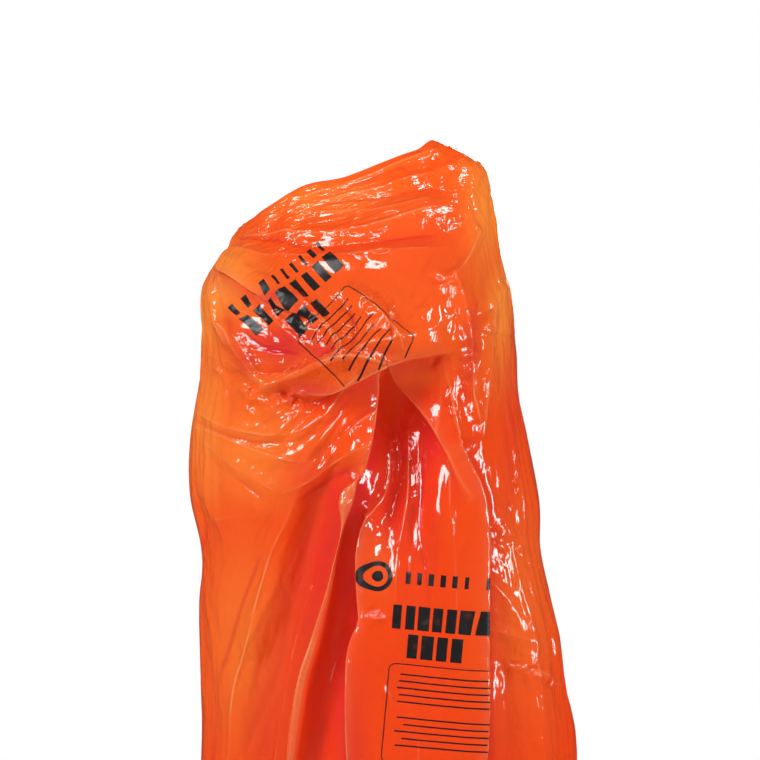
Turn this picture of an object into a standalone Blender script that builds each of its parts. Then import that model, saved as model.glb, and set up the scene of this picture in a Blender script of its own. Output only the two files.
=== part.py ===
"""Survival bag of thin orange film, in the draped shape that it takes in use.

The bag is one tube of film with a straight weld across its lower end. It stands open end up:
the mouth slopes up to the right, the front is drawn up in the middle, and the film falls from
there to the closed end on the ground. Metres, +Z up, the front faces -Y, and the origin is on
the ground under the middle of the bag.

Each web of the tube is a loft between two side lines. A share s runs across it, from the
left side line (0) to the right one (1), and a share v runs up it, from the ground (0) to the
mouth (1). The larger folds are raised from or sunk into that loft.
"""

import functools
import math

import bmesh
import bpy
import numpy as np

# Film and closed end
WALL = 0.004  # stands in for film of about 0.1 mm
GAP = 0.0003  # between neighbouring pieces
EDGE_GAP = 0.6 * GAP  # that each piece of the film leaves at its own edge
FLAT_WIDTH = 0.90  # of the bag laid flat, which is the length of the weld
WELD_TAKE_UP = 0.05  # lost in small folds at each end of the weld
WELD_WIDTH = 0.012
FOOT_THICKNESS = 0.0035
FOOT_LIP = 0.003  # the closed end stands out this far beyond the wall on it

# Side lines and depths from the ground up: share v, left side line (x, z), right side line
# (x, z), depth of the front and of the back. The right line turns in towards the mouth.
STATIONS = (
    (0.00, (-0.318, 0.000), (0.320, 0.000), 0.232, 0.215),
    (0.04, (-0.322, 0.060), (0.332, 0.060), 0.246, 0.224),
    (0.10, (-0.312, 0.150), (0.327, 0.150), 0.238, 0.215),
    (0.20, (-0.307, 0.300), (0.322, 0.300), 0.232, 0.208),
    (0.34, (-0.309, 0.510), (0.311, 0.512), 0.230, 0.200),
    (0.48, (-0.314, 0.720), (0.272, 0.733), 0.228, 0.192),
    (0.56, (-0.315, 0.840), (0.254, 0.850), 0.226, 0.185),
    (0.62, (-0.328, 0.930), (0.245, 0.940), 0.225, 0.180),
    (0.68, (-0.327, 1.010), (0.226, 1.040), 0.225, 0.175),
    (0.74, (-0.312, 1.100), (0.216, 1.130), 0.226, 0.170),
    (0.80, (-0.300, 1.180), (0.204, 1.220), 0.214, 0.165),
    (0.86, (-0.296, 1.240), (0.190, 1.305), 0.190, 0.158),
    (0.92, (-0.268, 1.286), (0.175, 1.390), 0.162, 0.148),
    (0.96, (-0.256, 1.316), (0.160, 1.446), 0.138, 0.135),
    (0.98, (-0.250, 1.330), (0.134, 1.468), 0.128, 0.126),
    (1.00, (-0.246, 1.340), (0.094, 1.487), 0.118, 0.116),
)
SECTION_POWER = 0.8  # 1 is an ellipse in plan, less is boxier

# The mouth's edge from its left end to its right one (x, z): across the front, and behind.
MOUTH_FRONT = (
    (-0.246, 1.340),
    (-0.211, 1.368),
    (-0.157, 1.406),
    (-0.071, 1.428),
    (-0.012, 1.452),
    (0.051, 1.475),
    (0.074, 1.489),
    (0.094, 1.487),
)
MOUTH_BACK = (
    (-0.246, 1.340),
    (-0.190, 1.345),
    (-0.100, 1.372),
    (0.000, 1.424),
    (0.060, 1.464),
    (0.094, 1.487),
)
MOUTH_REACH = 0.72  # the share v from which the rows bend towards the mouth's edge

# The folds fade out over these shares v above the ground and s from each side line.
GROUND_FADE, SIDE_FADE = 0.05, 0.08

# Folds: how far each stands out (or, below 0, is sunk), half its width, and its line as
# (x, z, strength).
FRONT_FOLDS = {
    "upper_roll": (
        0.046,
        0.072,
        ((-0.285, 1.235, 0.2), (-0.242, 1.186, 0.8), (-0.170, 1.147, 1), (-0.068, 1.136, 1),
         (0.020, 1.147, 0.9), (0.106, 1.163, 0.5)),
    ),
    "roll_crease": (
        -0.024,
        0.026,
        ((-0.262, 1.256, 0.7), (-0.214, 1.229, 1), (-0.135, 1.184, 0.8)),
    ),
    "gather": (0.020, 0.038, ((-0.104, 1.104, 0.8), (-0.057, 1.114, 1), (-0.006, 1.130, 0.8))),
    "top_swell": (0.014, 0.098, ((-0.138, 1.278, 0.5), (-0.028, 1.269, 1), (0.076, 1.278, 1))),
    "right_swell": (0.020, 0.055, ((0.100, 1.234, 0.6), (0.130, 1.155, 1), (0.165, 1.092, 0.5))),
    "recess": (
        -0.082,
        0.048,
        ((0.010, 1.104, 0.35), (0.022, 1.052, 1), (0.022, 0.981, 1), (0.013, 0.902, 0.75),
         (0.006, 0.830, 0.42), (0.016, 0.743, 0.18), (0.026, 0.553, 0.1), (0.026, 0.238, 0.05)),
    ),
    "drape_edge": (
        0.014,
        0.036,
        ((-0.030, 1.100, 0.5), (-0.046, 1.040, 0.9), (-0.056, 0.995, 1), (-0.074, 0.930, 0.8)),
    ),
    "flap_edge": (
        0.016,
        0.040,
        ((0.035, 1.114, 0.6), (0.070, 1.060, 1), (0.092, 1.020, 1), (0.112, 0.970, 0.7),
         (0.128, 0.900, 0.3)),
    ),
    "inner_ridge": (
        0.020,
        0.028,
        ((-0.035, 0.997, 0.4), (-0.057, 0.946, 1), (-0.071, 0.894, 1), (-0.077, 0.838, 1),
         (-0.095, 0.772, 1), (-0.114, 0.696, 1), (-0.139, 0.612, 1), (-0.169, 0.420, 0.8),
         (-0.184, 0.175, 0.5)),
    ),
    "left_hollow": (
        -0.044,
        0.043,
        ((-0.092, 0.949, 0.5), (-0.120, 0.870, 1), (-0.145, 0.759, 1), (-0.177, 0.648, 0.9),
         (-0.199, 0.522, 0.8), (-0.225, 0.271, 0.5), (-0.236, 0.095, 0.2)),
    ),
    "inner_hollow": (
        -0.040,
        0.034,
        ((-0.057, 0.894, 0.4), (-0.066, 0.822, 1), (-0.073, 0.728, 1), (-0.092, 0.632, 1),
         (-0.111, 0.522, 0.8), (-0.124, 0.271, 0.5), (-0.129, 0.095, 0.2)),
    ),
    "flat_left_edge": (
        0.012,
        0.030,
        ((-0.030, 0.870, 0.5), (-0.034, 0.810, 1), (-0.034, 0.700, 1), (-0.046, 0.620, 1),
         (-0.048, 0.500, 0.9), (-0.044, 0.300, 0.6), (-0.040, 0.130, 0.2)),
    ),
    "flat_right_edge": (
        0.010,
        0.034,
        ((0.110, 0.960, 0.5), (0.128, 0.900, 1), (0.134, 0.750, 1), (0.136, 0.560, 1),
         (0.140, 0.260, 0.6)),
    ),
    "right_hollow": (
        -0.020,
        0.032,
        ((0.178, 1.024, 0.3), (0.175, 0.902, 0.8), (0.177, 0.775, 1), (0.196, 0.585, 1),
         (0.217, 0.300, 0.6), (0.228, 0.095, 0.2)),
    ),
    "side_ridge": (
        0.012,
        0.034,
        ((0.228, 0.870, 0.4), (0.240, 0.745, 1), (0.256, 0.560, 1), (0.264, 0.270, 0.6)),
    ),
    "swag": (
        0.009,
        0.024,
        ((-0.290, 1.005, 0.6), (-0.235, 0.988, 1), (-0.170, 0.984, 1), (-0.095, 1.030, 1),
         (-0.050, 1.068, 0.6)),
    ),
    "band": (
        0.012,
        0.022,
        ((-0.020, 1.025, 0.6), (-0.046, 0.985, 1), (-0.100, 0.950, 1), (-0.165, 0.930, 0.6)),
    ),
    "left_swell": (0.012, 0.090, ((-0.262, 0.997, 0.7), (-0.237, 0.934, 1), (-0.200, 0.870, 0.4))),
    "long_fold": (
        0.012,
        0.026,
        ((-0.155, 0.894, 0.8), (-0.176, 0.842, 1), (-0.199, 0.778, 1), (-0.218, 0.700, 1),
         (-0.252, 0.545, 1), (-0.270, 0.330, 0.7), (-0.280, 0.150, 0.4)),
    ),
    "foot_roll": (
        0.010,
        0.034,
        ((-0.280, 0.110, 1), (-0.100, 0.085, 0.7), (0.120, 0.110, 1), (0.290, 0.090, 0.6)),
    ),
}
BACK_FOLDS = {
    "top_swell": (0.018, 0.075, ((-0.180, 1.288, 0.6), (-0.062, 1.288, 0.9), (0.088, 1.358, 1))),
    "cape_swag": (
        0.010,
        0.028,
        ((-0.210, 1.288, 0.5), (-0.112, 1.238, 1), (-0.004, 1.232, 1), (0.104, 1.288, 1)),
    ),
    "cape_hollow": (
        -0.010,
        0.028,
        ((-0.208, 1.258, 0.4), (-0.110, 1.205, 1), (0.000, 1.198, 1), (0.108, 1.252, 1)),
    ),
    "middle_hollow": (-0.012, 0.083, ((-0.262, 0.892, 0.5), (-0.012, 0.892, 1), (0.220, 0.892, 0.5))),
    "left_pleat": (
        0.024,
        0.045,
        ((-0.146, 1.175, 0.3), (-0.169, 1.008, 0.9), (-0.186, 0.725, 1), (-0.199, 0.392, 1),
         (-0.206, 0.125, 0.4)),
    ),
    "left_hollow": (
        -0.028,
        0.046,
        ((-0.071, 1.192, 0.2), (-0.082, 0.975, 0.9), (-0.096, 0.692, 1), (-0.102, 0.358, 1),
         (-0.102, 0.125, 0.3)),
    ),
    "middle_pleat": (
        0.024,
        0.044,
        ((0.008, 1.225, 0.2), (0.014, 1.025, 0.9), (0.018, 0.692, 1), (0.024, 0.358, 1),
         (0.024, 0.125, 0.3)),
    ),
    "right_hollow": (
        -0.028,
        0.044,
        ((0.088, 1.225, 0.2), (0.104, 0.975, 0.9), (0.124, 0.692, 1), (0.134, 0.358, 1),
         (0.138, 0.125, 0.3)),
    ),
    "right_pleat": (
        0.016,
        0.038,
        ((0.164, 1.175, 0.2), (0.188, 0.958, 0.8), (0.214, 0.658, 1), (0.231, 0.358, 0.8),
         (0.234, 0.125, 0.3)),
    ),
    "foot_roll": (
        0.010,
        0.034,
        ((-0.270, 0.090, 0.6), (-0.050, 0.115, 1), (0.150, 0.085, 0.7), (0.280, 0.110, 1)),
    ),
}

# Faces across each web and up both: the share at which a run of them ends, and their number.
COLUMNS = {
    "front": ((0.46, 24), (0.70, 11), (1.00, 11)),
    "back": ((0.34, 10), (0.50, 5), (0.66, 5), (1.00, 10)),
}
ROWS = ((0.72, 30), (1.00, 14))

# Pieces: the web, and the shares s and v between which each lies, where a run above ends.
PIECES = {
    "chest_wrap_left": ("front", (0.00, 0.46), (0.72, 1.00)),
    "chest_wrap_right": ("front", (0.46, 1.00), (0.72, 1.00)),
    "left_drape": ("front", (0.00, 0.46), (0.00, 0.72)),
    "front_recess": ("front", (0.46, 0.70), (0.00, 0.72)),
    "right_drape": ("front", (0.70, 1.00), (0.00, 0.72)),
    "cape_left": ("back", (0.00, 0.50), (0.72, 1.00)),
    "cape_right": ("back", (0.50, 1.00), (0.72, 1.00)),
    "back_fall_left": ("back", (0.00, 0.34), (0.00, 0.72)),
    "back_fall_middle": ("back", (0.34, 0.66), (0.00, 0.72)),
    "back_fall_right": ("back", (0.66, 1.00), (0.00, 0.72)),
}

# Colour, roughness and metallic value
FILM_LOOK = ((0.86, 0.11, 0.012), 0.25, 0.0)
WELD_LOOK = ((0.62, 0.06, 0.010), 0.35, 0.0)

# Steps of s and v over which the loft's slope is taken
SLOPE_STEP = 0.004
OUTLINE_POINTS = 28


def smooth_step(low, high, value):
    t = min(max((value - low) / (high - low), 0.0), 1.0)
    return t * t * (3 - 2 * t)


def through_points(knots, values, at):
    """A smooth line through the values at the knots, read at one place."""
    last = len(knots) - 1
    i = min(max(int(np.searchsorted(knots, at, side="right")) - 1, 0), last - 1)
    slopes = []
    for k in (i, i + 1):
        low, high = max(k - 1, 0), min(k + 1, last)
        slopes.append((values[high] - values[low]) / (knots[high] - knots[low]))
    step = knots[i + 1] - knots[i]
    t = (at - knots[i]) / step
    return (
        (2 * t**3 - 3 * t**2 + 1) * values[i]
        + (t**3 - 2 * t**2 + t) * step * slopes[0]
        + (3 * t**2 - 2 * t**3) * values[i + 1]
        + (t**3 - t**2) * step * slopes[1]
    )


KNOTS = np.array([station[0] for station in STATIONS])
LEFT_LINE = np.array([station[1] for station in STATIONS])
RIGHT_LINE = np.array([station[2] for station in STATIONS])
DEPTHS = {
    "front": np.array([-station[3] for station in STATIONS]),
    "back": np.array([station[4] for station in STATIONS]),
}
MOUTHS = {"front": np.array(MOUTH_FRONT), "back": np.array(MOUTH_BACK)}
FOLDS = {"front": FRONT_FOLDS, "back": BACK_FOLDS}


@functools.cache
def loft_point(web, s, v):
    """A point of one web of the tube, before its folds."""
    across = (1 - math.cos(math.pi * s)) / 2
    left = through_points(KNOTS, LEFT_LINE, v)
    right = through_points(KNOTS, RIGHT_LINE, v)
    x, z = left + (right - left) * across
    left_end, right_end = LEFT_LINE[-1], RIGHT_LINE[-1]
    edge_x, straight_z = left_end + (right_end - left_end) * across
    edge = MOUTHS[web]
    z += (np.interp(edge_x, edge[:, 0], edge[:, 1]) - straight_z) * smooth_step(MOUTH_REACH, 1, v)
    depth = through_points(KNOTS, DEPTHS[web], v)
    y = depth * math.sin(math.pi * min(max(s, 0), 1)) ** SECTION_POWER
    return np.array((x, y, z + (FOOT_THICKNESS + GAP) * (1 - v)))


def slopes_of(point, web, s, v):
    """How the surface runs across and up, at one place of a web."""
    s0, s1 = max(s - SLOPE_STEP, 0), min(s + SLOPE_STEP, 1)
    v0, v1 = max(v - SLOPE_STEP, 0), min(v + SLOPE_STEP, 1)
    return point(web, s1, v) - point(web, s0, v), point(web, s, v1) - point(web, s, v0)


def normal_of(point, web, s, v):
    """The outward normal at one place of a web."""
    across, up = slopes_of(point, web, s, v)
    normal = np.cross(across, up) * (1 if web == "front" else -1)
    return normal / np.linalg.norm(normal)


def fold_height(fold, x, z):
    """How far one fold moves the film at a place of the front or back view."""
    height, half_width, line = fold
    best = None
    for (x0, z0, k0), (x1, z1, k1) in zip(line, line[1:]):
        run, rise = x1 - x0, z1 - z0
        share = min(max(((x - x0) * run + (z - z0) * rise) / (run * run + rise * rise), 0), 1)
        away = math.hypot(x - x0 - share * run, z - z0 - share * rise)
        if best is None or away < best[0]:
            best = (away, k0 + (k1 - k0) * share)
    return height * best[1] * math.exp(-((best[0] / half_width) ** 2))


@functools.cache
def film_point(web, s, v):
    """A point of the film's inner face, with the folds."""
    base = loft_point(web, s, v)
    height = sum(fold_height(fold, base[0], base[2]) for fold in FOLDS[web].values())
    height *= smooth_step(0, GROUND_FADE, v) * smooth_step(0, SIDE_FADE, min(s, 1 - s))
    return base + normal_of(loft_point, web, s, v) * height


def shares_between(runs, low, high):
    """The shares at which faces meet, from low to high."""
    shares = [0.0]
    for end, count in runs:
        start = shares[-1]
        shares += [start + (end - start) * (i + 1) / count for i in range(count)]
    return [share for share in shares if low - 1e-9 <= share <= high + 1e-9]


def panel_grids(web, s_range, v_range):
    """The inner and outer points of one piece of the film, row by row, short of its neighbours'."""
    columns, rows = shares_between(COLUMNS[web], *s_range), shares_between(ROWS, *v_range)
    inner, outer = [], []
    for v in rows:
        inner_row, outer_row = [], []
        for s in columns:
            across, up = (run / np.linalg.norm(run) for run in slopes_of(film_point, web, s, v))
            normal = normal_of(film_point, web, s, v)
            point = film_point(web, s, v).copy()
            point += across * EDGE_GAP * ((s == columns[0]) - (s == columns[-1]))
            if 0 < v < 1:
                point += up * EDGE_GAP * ((v == rows[0]) - (v == rows[-1]))
            if v == 0:
                normal[2] = max(normal[2], 0)
            inner_row.append(point)
            outer_row.append(point + normal * WALL)
        inner.append(inner_row)
        outer.append(outer_row)
    return inner, outer


def material(name, look):
    made = bpy.data.materials.new(name)
    made.use_nodes = True
    colour, roughness, metallic = look
    shader = made.node_tree.nodes["Principled BSDF"]
    shader.inputs["Base Color"].default_value = (*colour, 1)
    shader.inputs["Roughness"].default_value = roughness
    shader.inputs["Metallic"].default_value = metallic
    made.diffuse_color = (*colour, 1)
    return made


def add_object(name, shape, collection, look):
    """Turns a bmesh into an object whose faces point out."""
    bmesh.ops.recalc_face_normals(shape, faces=shape.faces)
    mesh = bpy.data.meshes.new(name)
    shape.to_mesh(mesh)
    shape.free()
    mesh.materials.append(look)
    mesh.shade_smooth()
    mesh.set_sharp_from_angle(angle=math.radians(40))
    made = bpy.data.objects.new(name, mesh)
    collection.objects.link(made)
    return made


def film_panel(name, collection, look, shift):
    """One piece of the film: a wall lofted between its inner and outer points."""
    shape = bmesh.new()
    grids = []
    for grid in panel_grids(*PIECES[name]):
        grids.append([[shape.verts.new(point + shift) for point in row] for row in grid])
    inner, outer = grids
    rows, columns = len(inner) - 1, len(inner[0]) - 1
    for face in (inner, outer):
        for low, high in zip(face, face[1:]):
            for i in range(columns):
                shape.faces.new((low[i], low[i + 1], high[i + 1], high[i]))
    for a, b in ((inner[0], outer[0]), (inner[-1], outer[-1])):
        for i in range(columns):
            shape.faces.new((a[i], a[i + 1], b[i + 1], b[i]))
    for column in (0, -1):
        for j in range(rows):
            shape.faces.new(
                (inner[j][column], inner[j + 1][column], outer[j + 1][column], outer[j][column])
            )
    return add_object(name, shape, collection, look)


def foot_outline(web):
    """Half of the closed end in plan, from the left end of the weld round to the right one."""
    sign = -1 if web == "front" else 1
    tip = FLAT_WIDTH / 2 - WELD_TAKE_UP
    edge = sign * (WELD_WIDTH / 2 + GAP)
    points = []
    for i in range(OUTLINE_POINTS + 1):
        s = i / OUTLINE_POINTS
        point = film_point(web, s, 0) + normal_of(film_point, web, s, 0) * (WALL + FOOT_LIP)
        if sign * point[1] > WELD_WIDTH:
            points.append((point[0], point[1]))
    outline = [(-tip, edge)]
    for point in points + [(tip, edge)]:
        while len(outline) > 1:
            (x0, y0), (x1, y1) = outline[-2:]
            turn = (x1 - x0) * (point[1] - y0) - (y1 - y0) * (point[0] - x0)
            if turn * sign < 0:
                break
            outline.pop()
        outline.append(point)
    return outline


def extruded(name, outline, collection, look, shift):
    """A flat piece on the ground with the given outline."""
    shape = bmesh.new()
    base = shape.faces.new([shape.verts.new((x + shift[0], y + shift[1], 0)) for x, y in outline])
    raised = bmesh.ops.extrude_face_region(shape, geom=[base])
    top = [item for item in raised["geom"] if isinstance(item, bmesh.types.BMVert)]
    bmesh.ops.translate(shape, verts=top, vec=(0, 0, FOOT_THICKNESS))
    return add_object(name, shape, collection, look)


def depth_shift():
    """Moves the bag so that the origin is under the middle of its depth."""
    depths = []
    for piece in PIECES.values():
        for grid in panel_grids(*piece):
            depths += [point[1] for row in grid for point in row]
    for web in FOLDS:
        depths += [y for _, y in foot_outline(web)]
    return np.array((0, -(min(depths) + max(depths)) / 2, 0))


def main():
    for item in list(bpy.data.objects):
        bpy.data.objects.remove(item)
    bag = bpy.data.collections.new("survival_bag")
    bpy.context.scene.collection.children.link(bag)
    film = material("orange_film", FILM_LOOK)
    weld = material("welded_film", WELD_LOOK)
    shift = depth_shift()
    for name in PIECES:
        film_panel(name, bag, film, shift)
    for web in FOLDS:
        extruded(f"foot_panel_{web}", foot_outline(web), bag, film, shift)
    tip, half = FLAT_WIDTH / 2 - WELD_TAKE_UP + FOOT_LIP, WELD_WIDTH / 2
    corners = ((-tip, -half), (tip, -half), (tip, half), (-tip, half))
    extruded("bottom_weld", corners, bag, weld, shift)


main()
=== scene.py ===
import math

import bmesh
import bpy
import numpy as np
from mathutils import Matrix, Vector
from mathutils.kdtree import KDTree


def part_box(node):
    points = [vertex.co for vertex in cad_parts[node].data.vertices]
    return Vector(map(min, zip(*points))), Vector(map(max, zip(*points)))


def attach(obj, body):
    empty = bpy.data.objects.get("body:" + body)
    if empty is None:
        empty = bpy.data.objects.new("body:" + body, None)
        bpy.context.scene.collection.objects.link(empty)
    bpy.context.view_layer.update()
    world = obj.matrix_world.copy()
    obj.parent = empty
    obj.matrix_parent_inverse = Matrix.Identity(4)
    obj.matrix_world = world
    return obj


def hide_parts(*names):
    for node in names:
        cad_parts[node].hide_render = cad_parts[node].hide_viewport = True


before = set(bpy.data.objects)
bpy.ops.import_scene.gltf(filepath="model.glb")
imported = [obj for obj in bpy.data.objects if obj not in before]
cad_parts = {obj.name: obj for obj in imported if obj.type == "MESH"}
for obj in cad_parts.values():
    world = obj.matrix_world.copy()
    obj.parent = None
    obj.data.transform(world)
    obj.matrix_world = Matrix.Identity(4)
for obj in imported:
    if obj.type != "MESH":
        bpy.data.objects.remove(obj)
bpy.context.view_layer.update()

# The front is drawn on a sheet: u runs right and w runs down, 600 of them a metre, and the
# floor is at w = 1035. A point of the film lies on the line of sight through its (u, w).
drawing = {
    "middle": 387.5,
    "eye": 380,  # u and w that the camera looks straight at
    "frame": 760,  # width of the view
    "perMetre": 600.0,
    "topHeight": 1.725,
    "viewDistance": 4.2,
}

bag = {
    "flatWidth": 0.90,
    "flatLength": 1.80,
    "frontColumns": 236,
    "backColumns": 160,
    "lowRows": 56,  # over the lowest 0.3 of the height
    "highRows": 340,
    "footRows": 26,
    "sectionPower": 0.8,
    "seamReach": 0.40,  # half the weld, as it lies
    "sheetLift": 0.0038,
    "mouthReach": 0.72,  # share v from which the rows bend towards the mouth's edge
}

# The lamps: place, target, size, power, and whether the film mirrors them.
lamps = {
    "leftBox": ((-2.4, -1.8, 1.1), (0, 0, 0.9), (0.8, 1.4), 27, False),
    "rightBox": ((2.4, -1.6, 1.3), (0, 0, 0.9), (0.6, 1.4), 20, False),
    "frontBox": ((-0.2, -3.6, 1.3), (0, 0, 0.9), (1.0, 1.0), 5, False),
    "backBox": ((-1.5, 1.9, 1.9), (0, 0, 0.9), (1.0, 1.4), 46, False),
    "backStrip": ((0.5, 2.7, 1.9), (0, 0, 1.0), (0.7, 1.2), 26, True),
    "keyBox": ((-1.75, -2.1, 2.25), (0, 0, 1.1), (1.05, 1.05), 42, True),
    "topStrip": ((-0.1, -2.2, 2.95), (0, 0, 1.2), (1.2, 0.35), 18, True),
    "rightStrip": ((2.6, -1.2, 1.1), (0, 0, 0.9), (0.45, 1.0), 21, True),
    "rightTop": ((2.2, -0.9, 2.6), (0, 0, 1.2), (0.5, 0.5), 13, True),
}

# Rows of the tube from the floor up: share v, w of the left and right side lines, depth of
# the front and of the back.
stations = (
    (0.00, 1035, 1035, 0.232, 0.215),
    (0.04, 999, 999, 0.246, 0.224),
    (0.10, 945, 945, 0.238, 0.215),
    (0.20, 855, 855, 0.232, 0.208),
    (0.34, 729, 728, 0.230, 0.200),
    (0.48, 603, 595, 0.228, 0.192),
    (0.56, 531, 525, 0.226, 0.185),
    (0.62, 477, 471, 0.225, 0.180),
    (0.68, 429, 411, 0.225, 0.175),
    (0.74, 375, 357, 0.226, 0.170),
    (0.80, 327, 303, 0.214, 0.165),
    (0.86, 291, 252, 0.190, 0.158),
    (0.92, 263, 201, 0.162, 0.148),
    (0.96, 245, 167, 0.138, 0.135),
    (0.98, 237, 154, 0.128, 0.126),
    (1.00, 231, 143, 0.118, 0.116),
)

# The two side lines (w, u) from the mouth down, and the mouth's edges (u, w) across.
leftSide = (
    (231, 240), (244, 234), (260, 229), (270, 221), (282, 213), (298, 206), (313, 207), (327, 208),
    (348, 204), (376, 200), (410, 194), (440, 190), (475, 189), (503, 191), (536, 199), (559, 202),
    (603, 199), (660, 200), (729, 202), (800, 201), (870, 200), (945, 198), (1000, 194), (1035, 197),
)
rightSide = (
    (143, 444), (154, 468), (162, 480), (168, 484), (194, 491), (222, 496), (250, 500), (286, 507),
    (296, 510), (330, 514), (354, 516), (401, 519), (436, 527), (476, 535), (500, 539), (546, 540),
    (595, 550), (638, 560), (690, 566), (728, 574), (800, 577), (870, 580), (945, 584), (1000, 587),
    (1035, 579),
)
mouthFront = (
    (240, 231), (261, 214), (289, 194), (297, 189), (345, 178), (380, 164), (403, 155), (418, 150),
    (432, 141), (440, 145), (444, 143),
)
mouthBack = ((240, 231), (273, 228), (327, 212), (387, 181), (423, 157), (444, 143))

# Broad forms of the front: height in metres, half-width over and under the line (or to its
# left and right) and the line as (u, w, strength).
frontForms = {
    "upperRoll": (0.046, 62, 30, (
        (205, 290, 0.3), (232, 322, 0.8), (280, 345, 1), (345, 352, 1), (400, 345, 0.9), (455, 335, 0.5),
    )),
    "rollEnd": (0.020, 40, 34, ((225, 262, 0.5), (222, 300, 1), (226, 335, 0.9))),
    "gather": (0.020, 24, 22, ((322, 372, 0.8), (352, 366, 1), (384, 356, 0.8))),
    "topSwell": (0.014, 60, 60, ((300, 262, 0.5), (370, 268, 1), (436, 262, 1))),
    "rightSwell": (0.020, 34, 34, ((452, 290, 0.6), (470, 340, 1), (492, 380, 0.5))),
    "leftSwell": (0.012, 45, 70, ((222, 440, 0.7), (238, 480, 1), (262, 520, 0.4))),
    "recess": (-0.082, 30, 30, (
        (394, 372, 0.35), (402, 405, 1), (402, 450, 1), (396, 500, 0.75), (392, 545, 0.42),
        (398, 600, 0.18), (404, 720, 0.10), (404, 900, 0.05),
    )),
    "leftHollow": (-0.042, 26, 26, (
        (330, 470, 0.5), (312, 520, 1), (296, 590, 1), (276, 660, 0.9), (262, 740, 0.8), (250, 880, 0.5),
        (246, 980, 0.2),
    )),
    "innerHollow": (-0.040, 15, 17, (
        (352, 505, 0.4), (346, 550, 1), (342, 610, 1), (330, 670, 1), (318, 740, 0.8), (312, 880, 0.5),
        (310, 980, 0.2),
    )),
    "rightHollow": (-0.016, 16, 24, (
        (500, 420, 0.3), (498, 500, 0.8), (500, 580, 1), (512, 700, 1), (520, 860, 0.6), (524, 980, 0.2),
    )),
    "sideRidge": (0.012, 20, 20, ((530, 520, 0.4), (538, 600, 1), (546, 700, 1), (548, 880, 0.6))),
}

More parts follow.
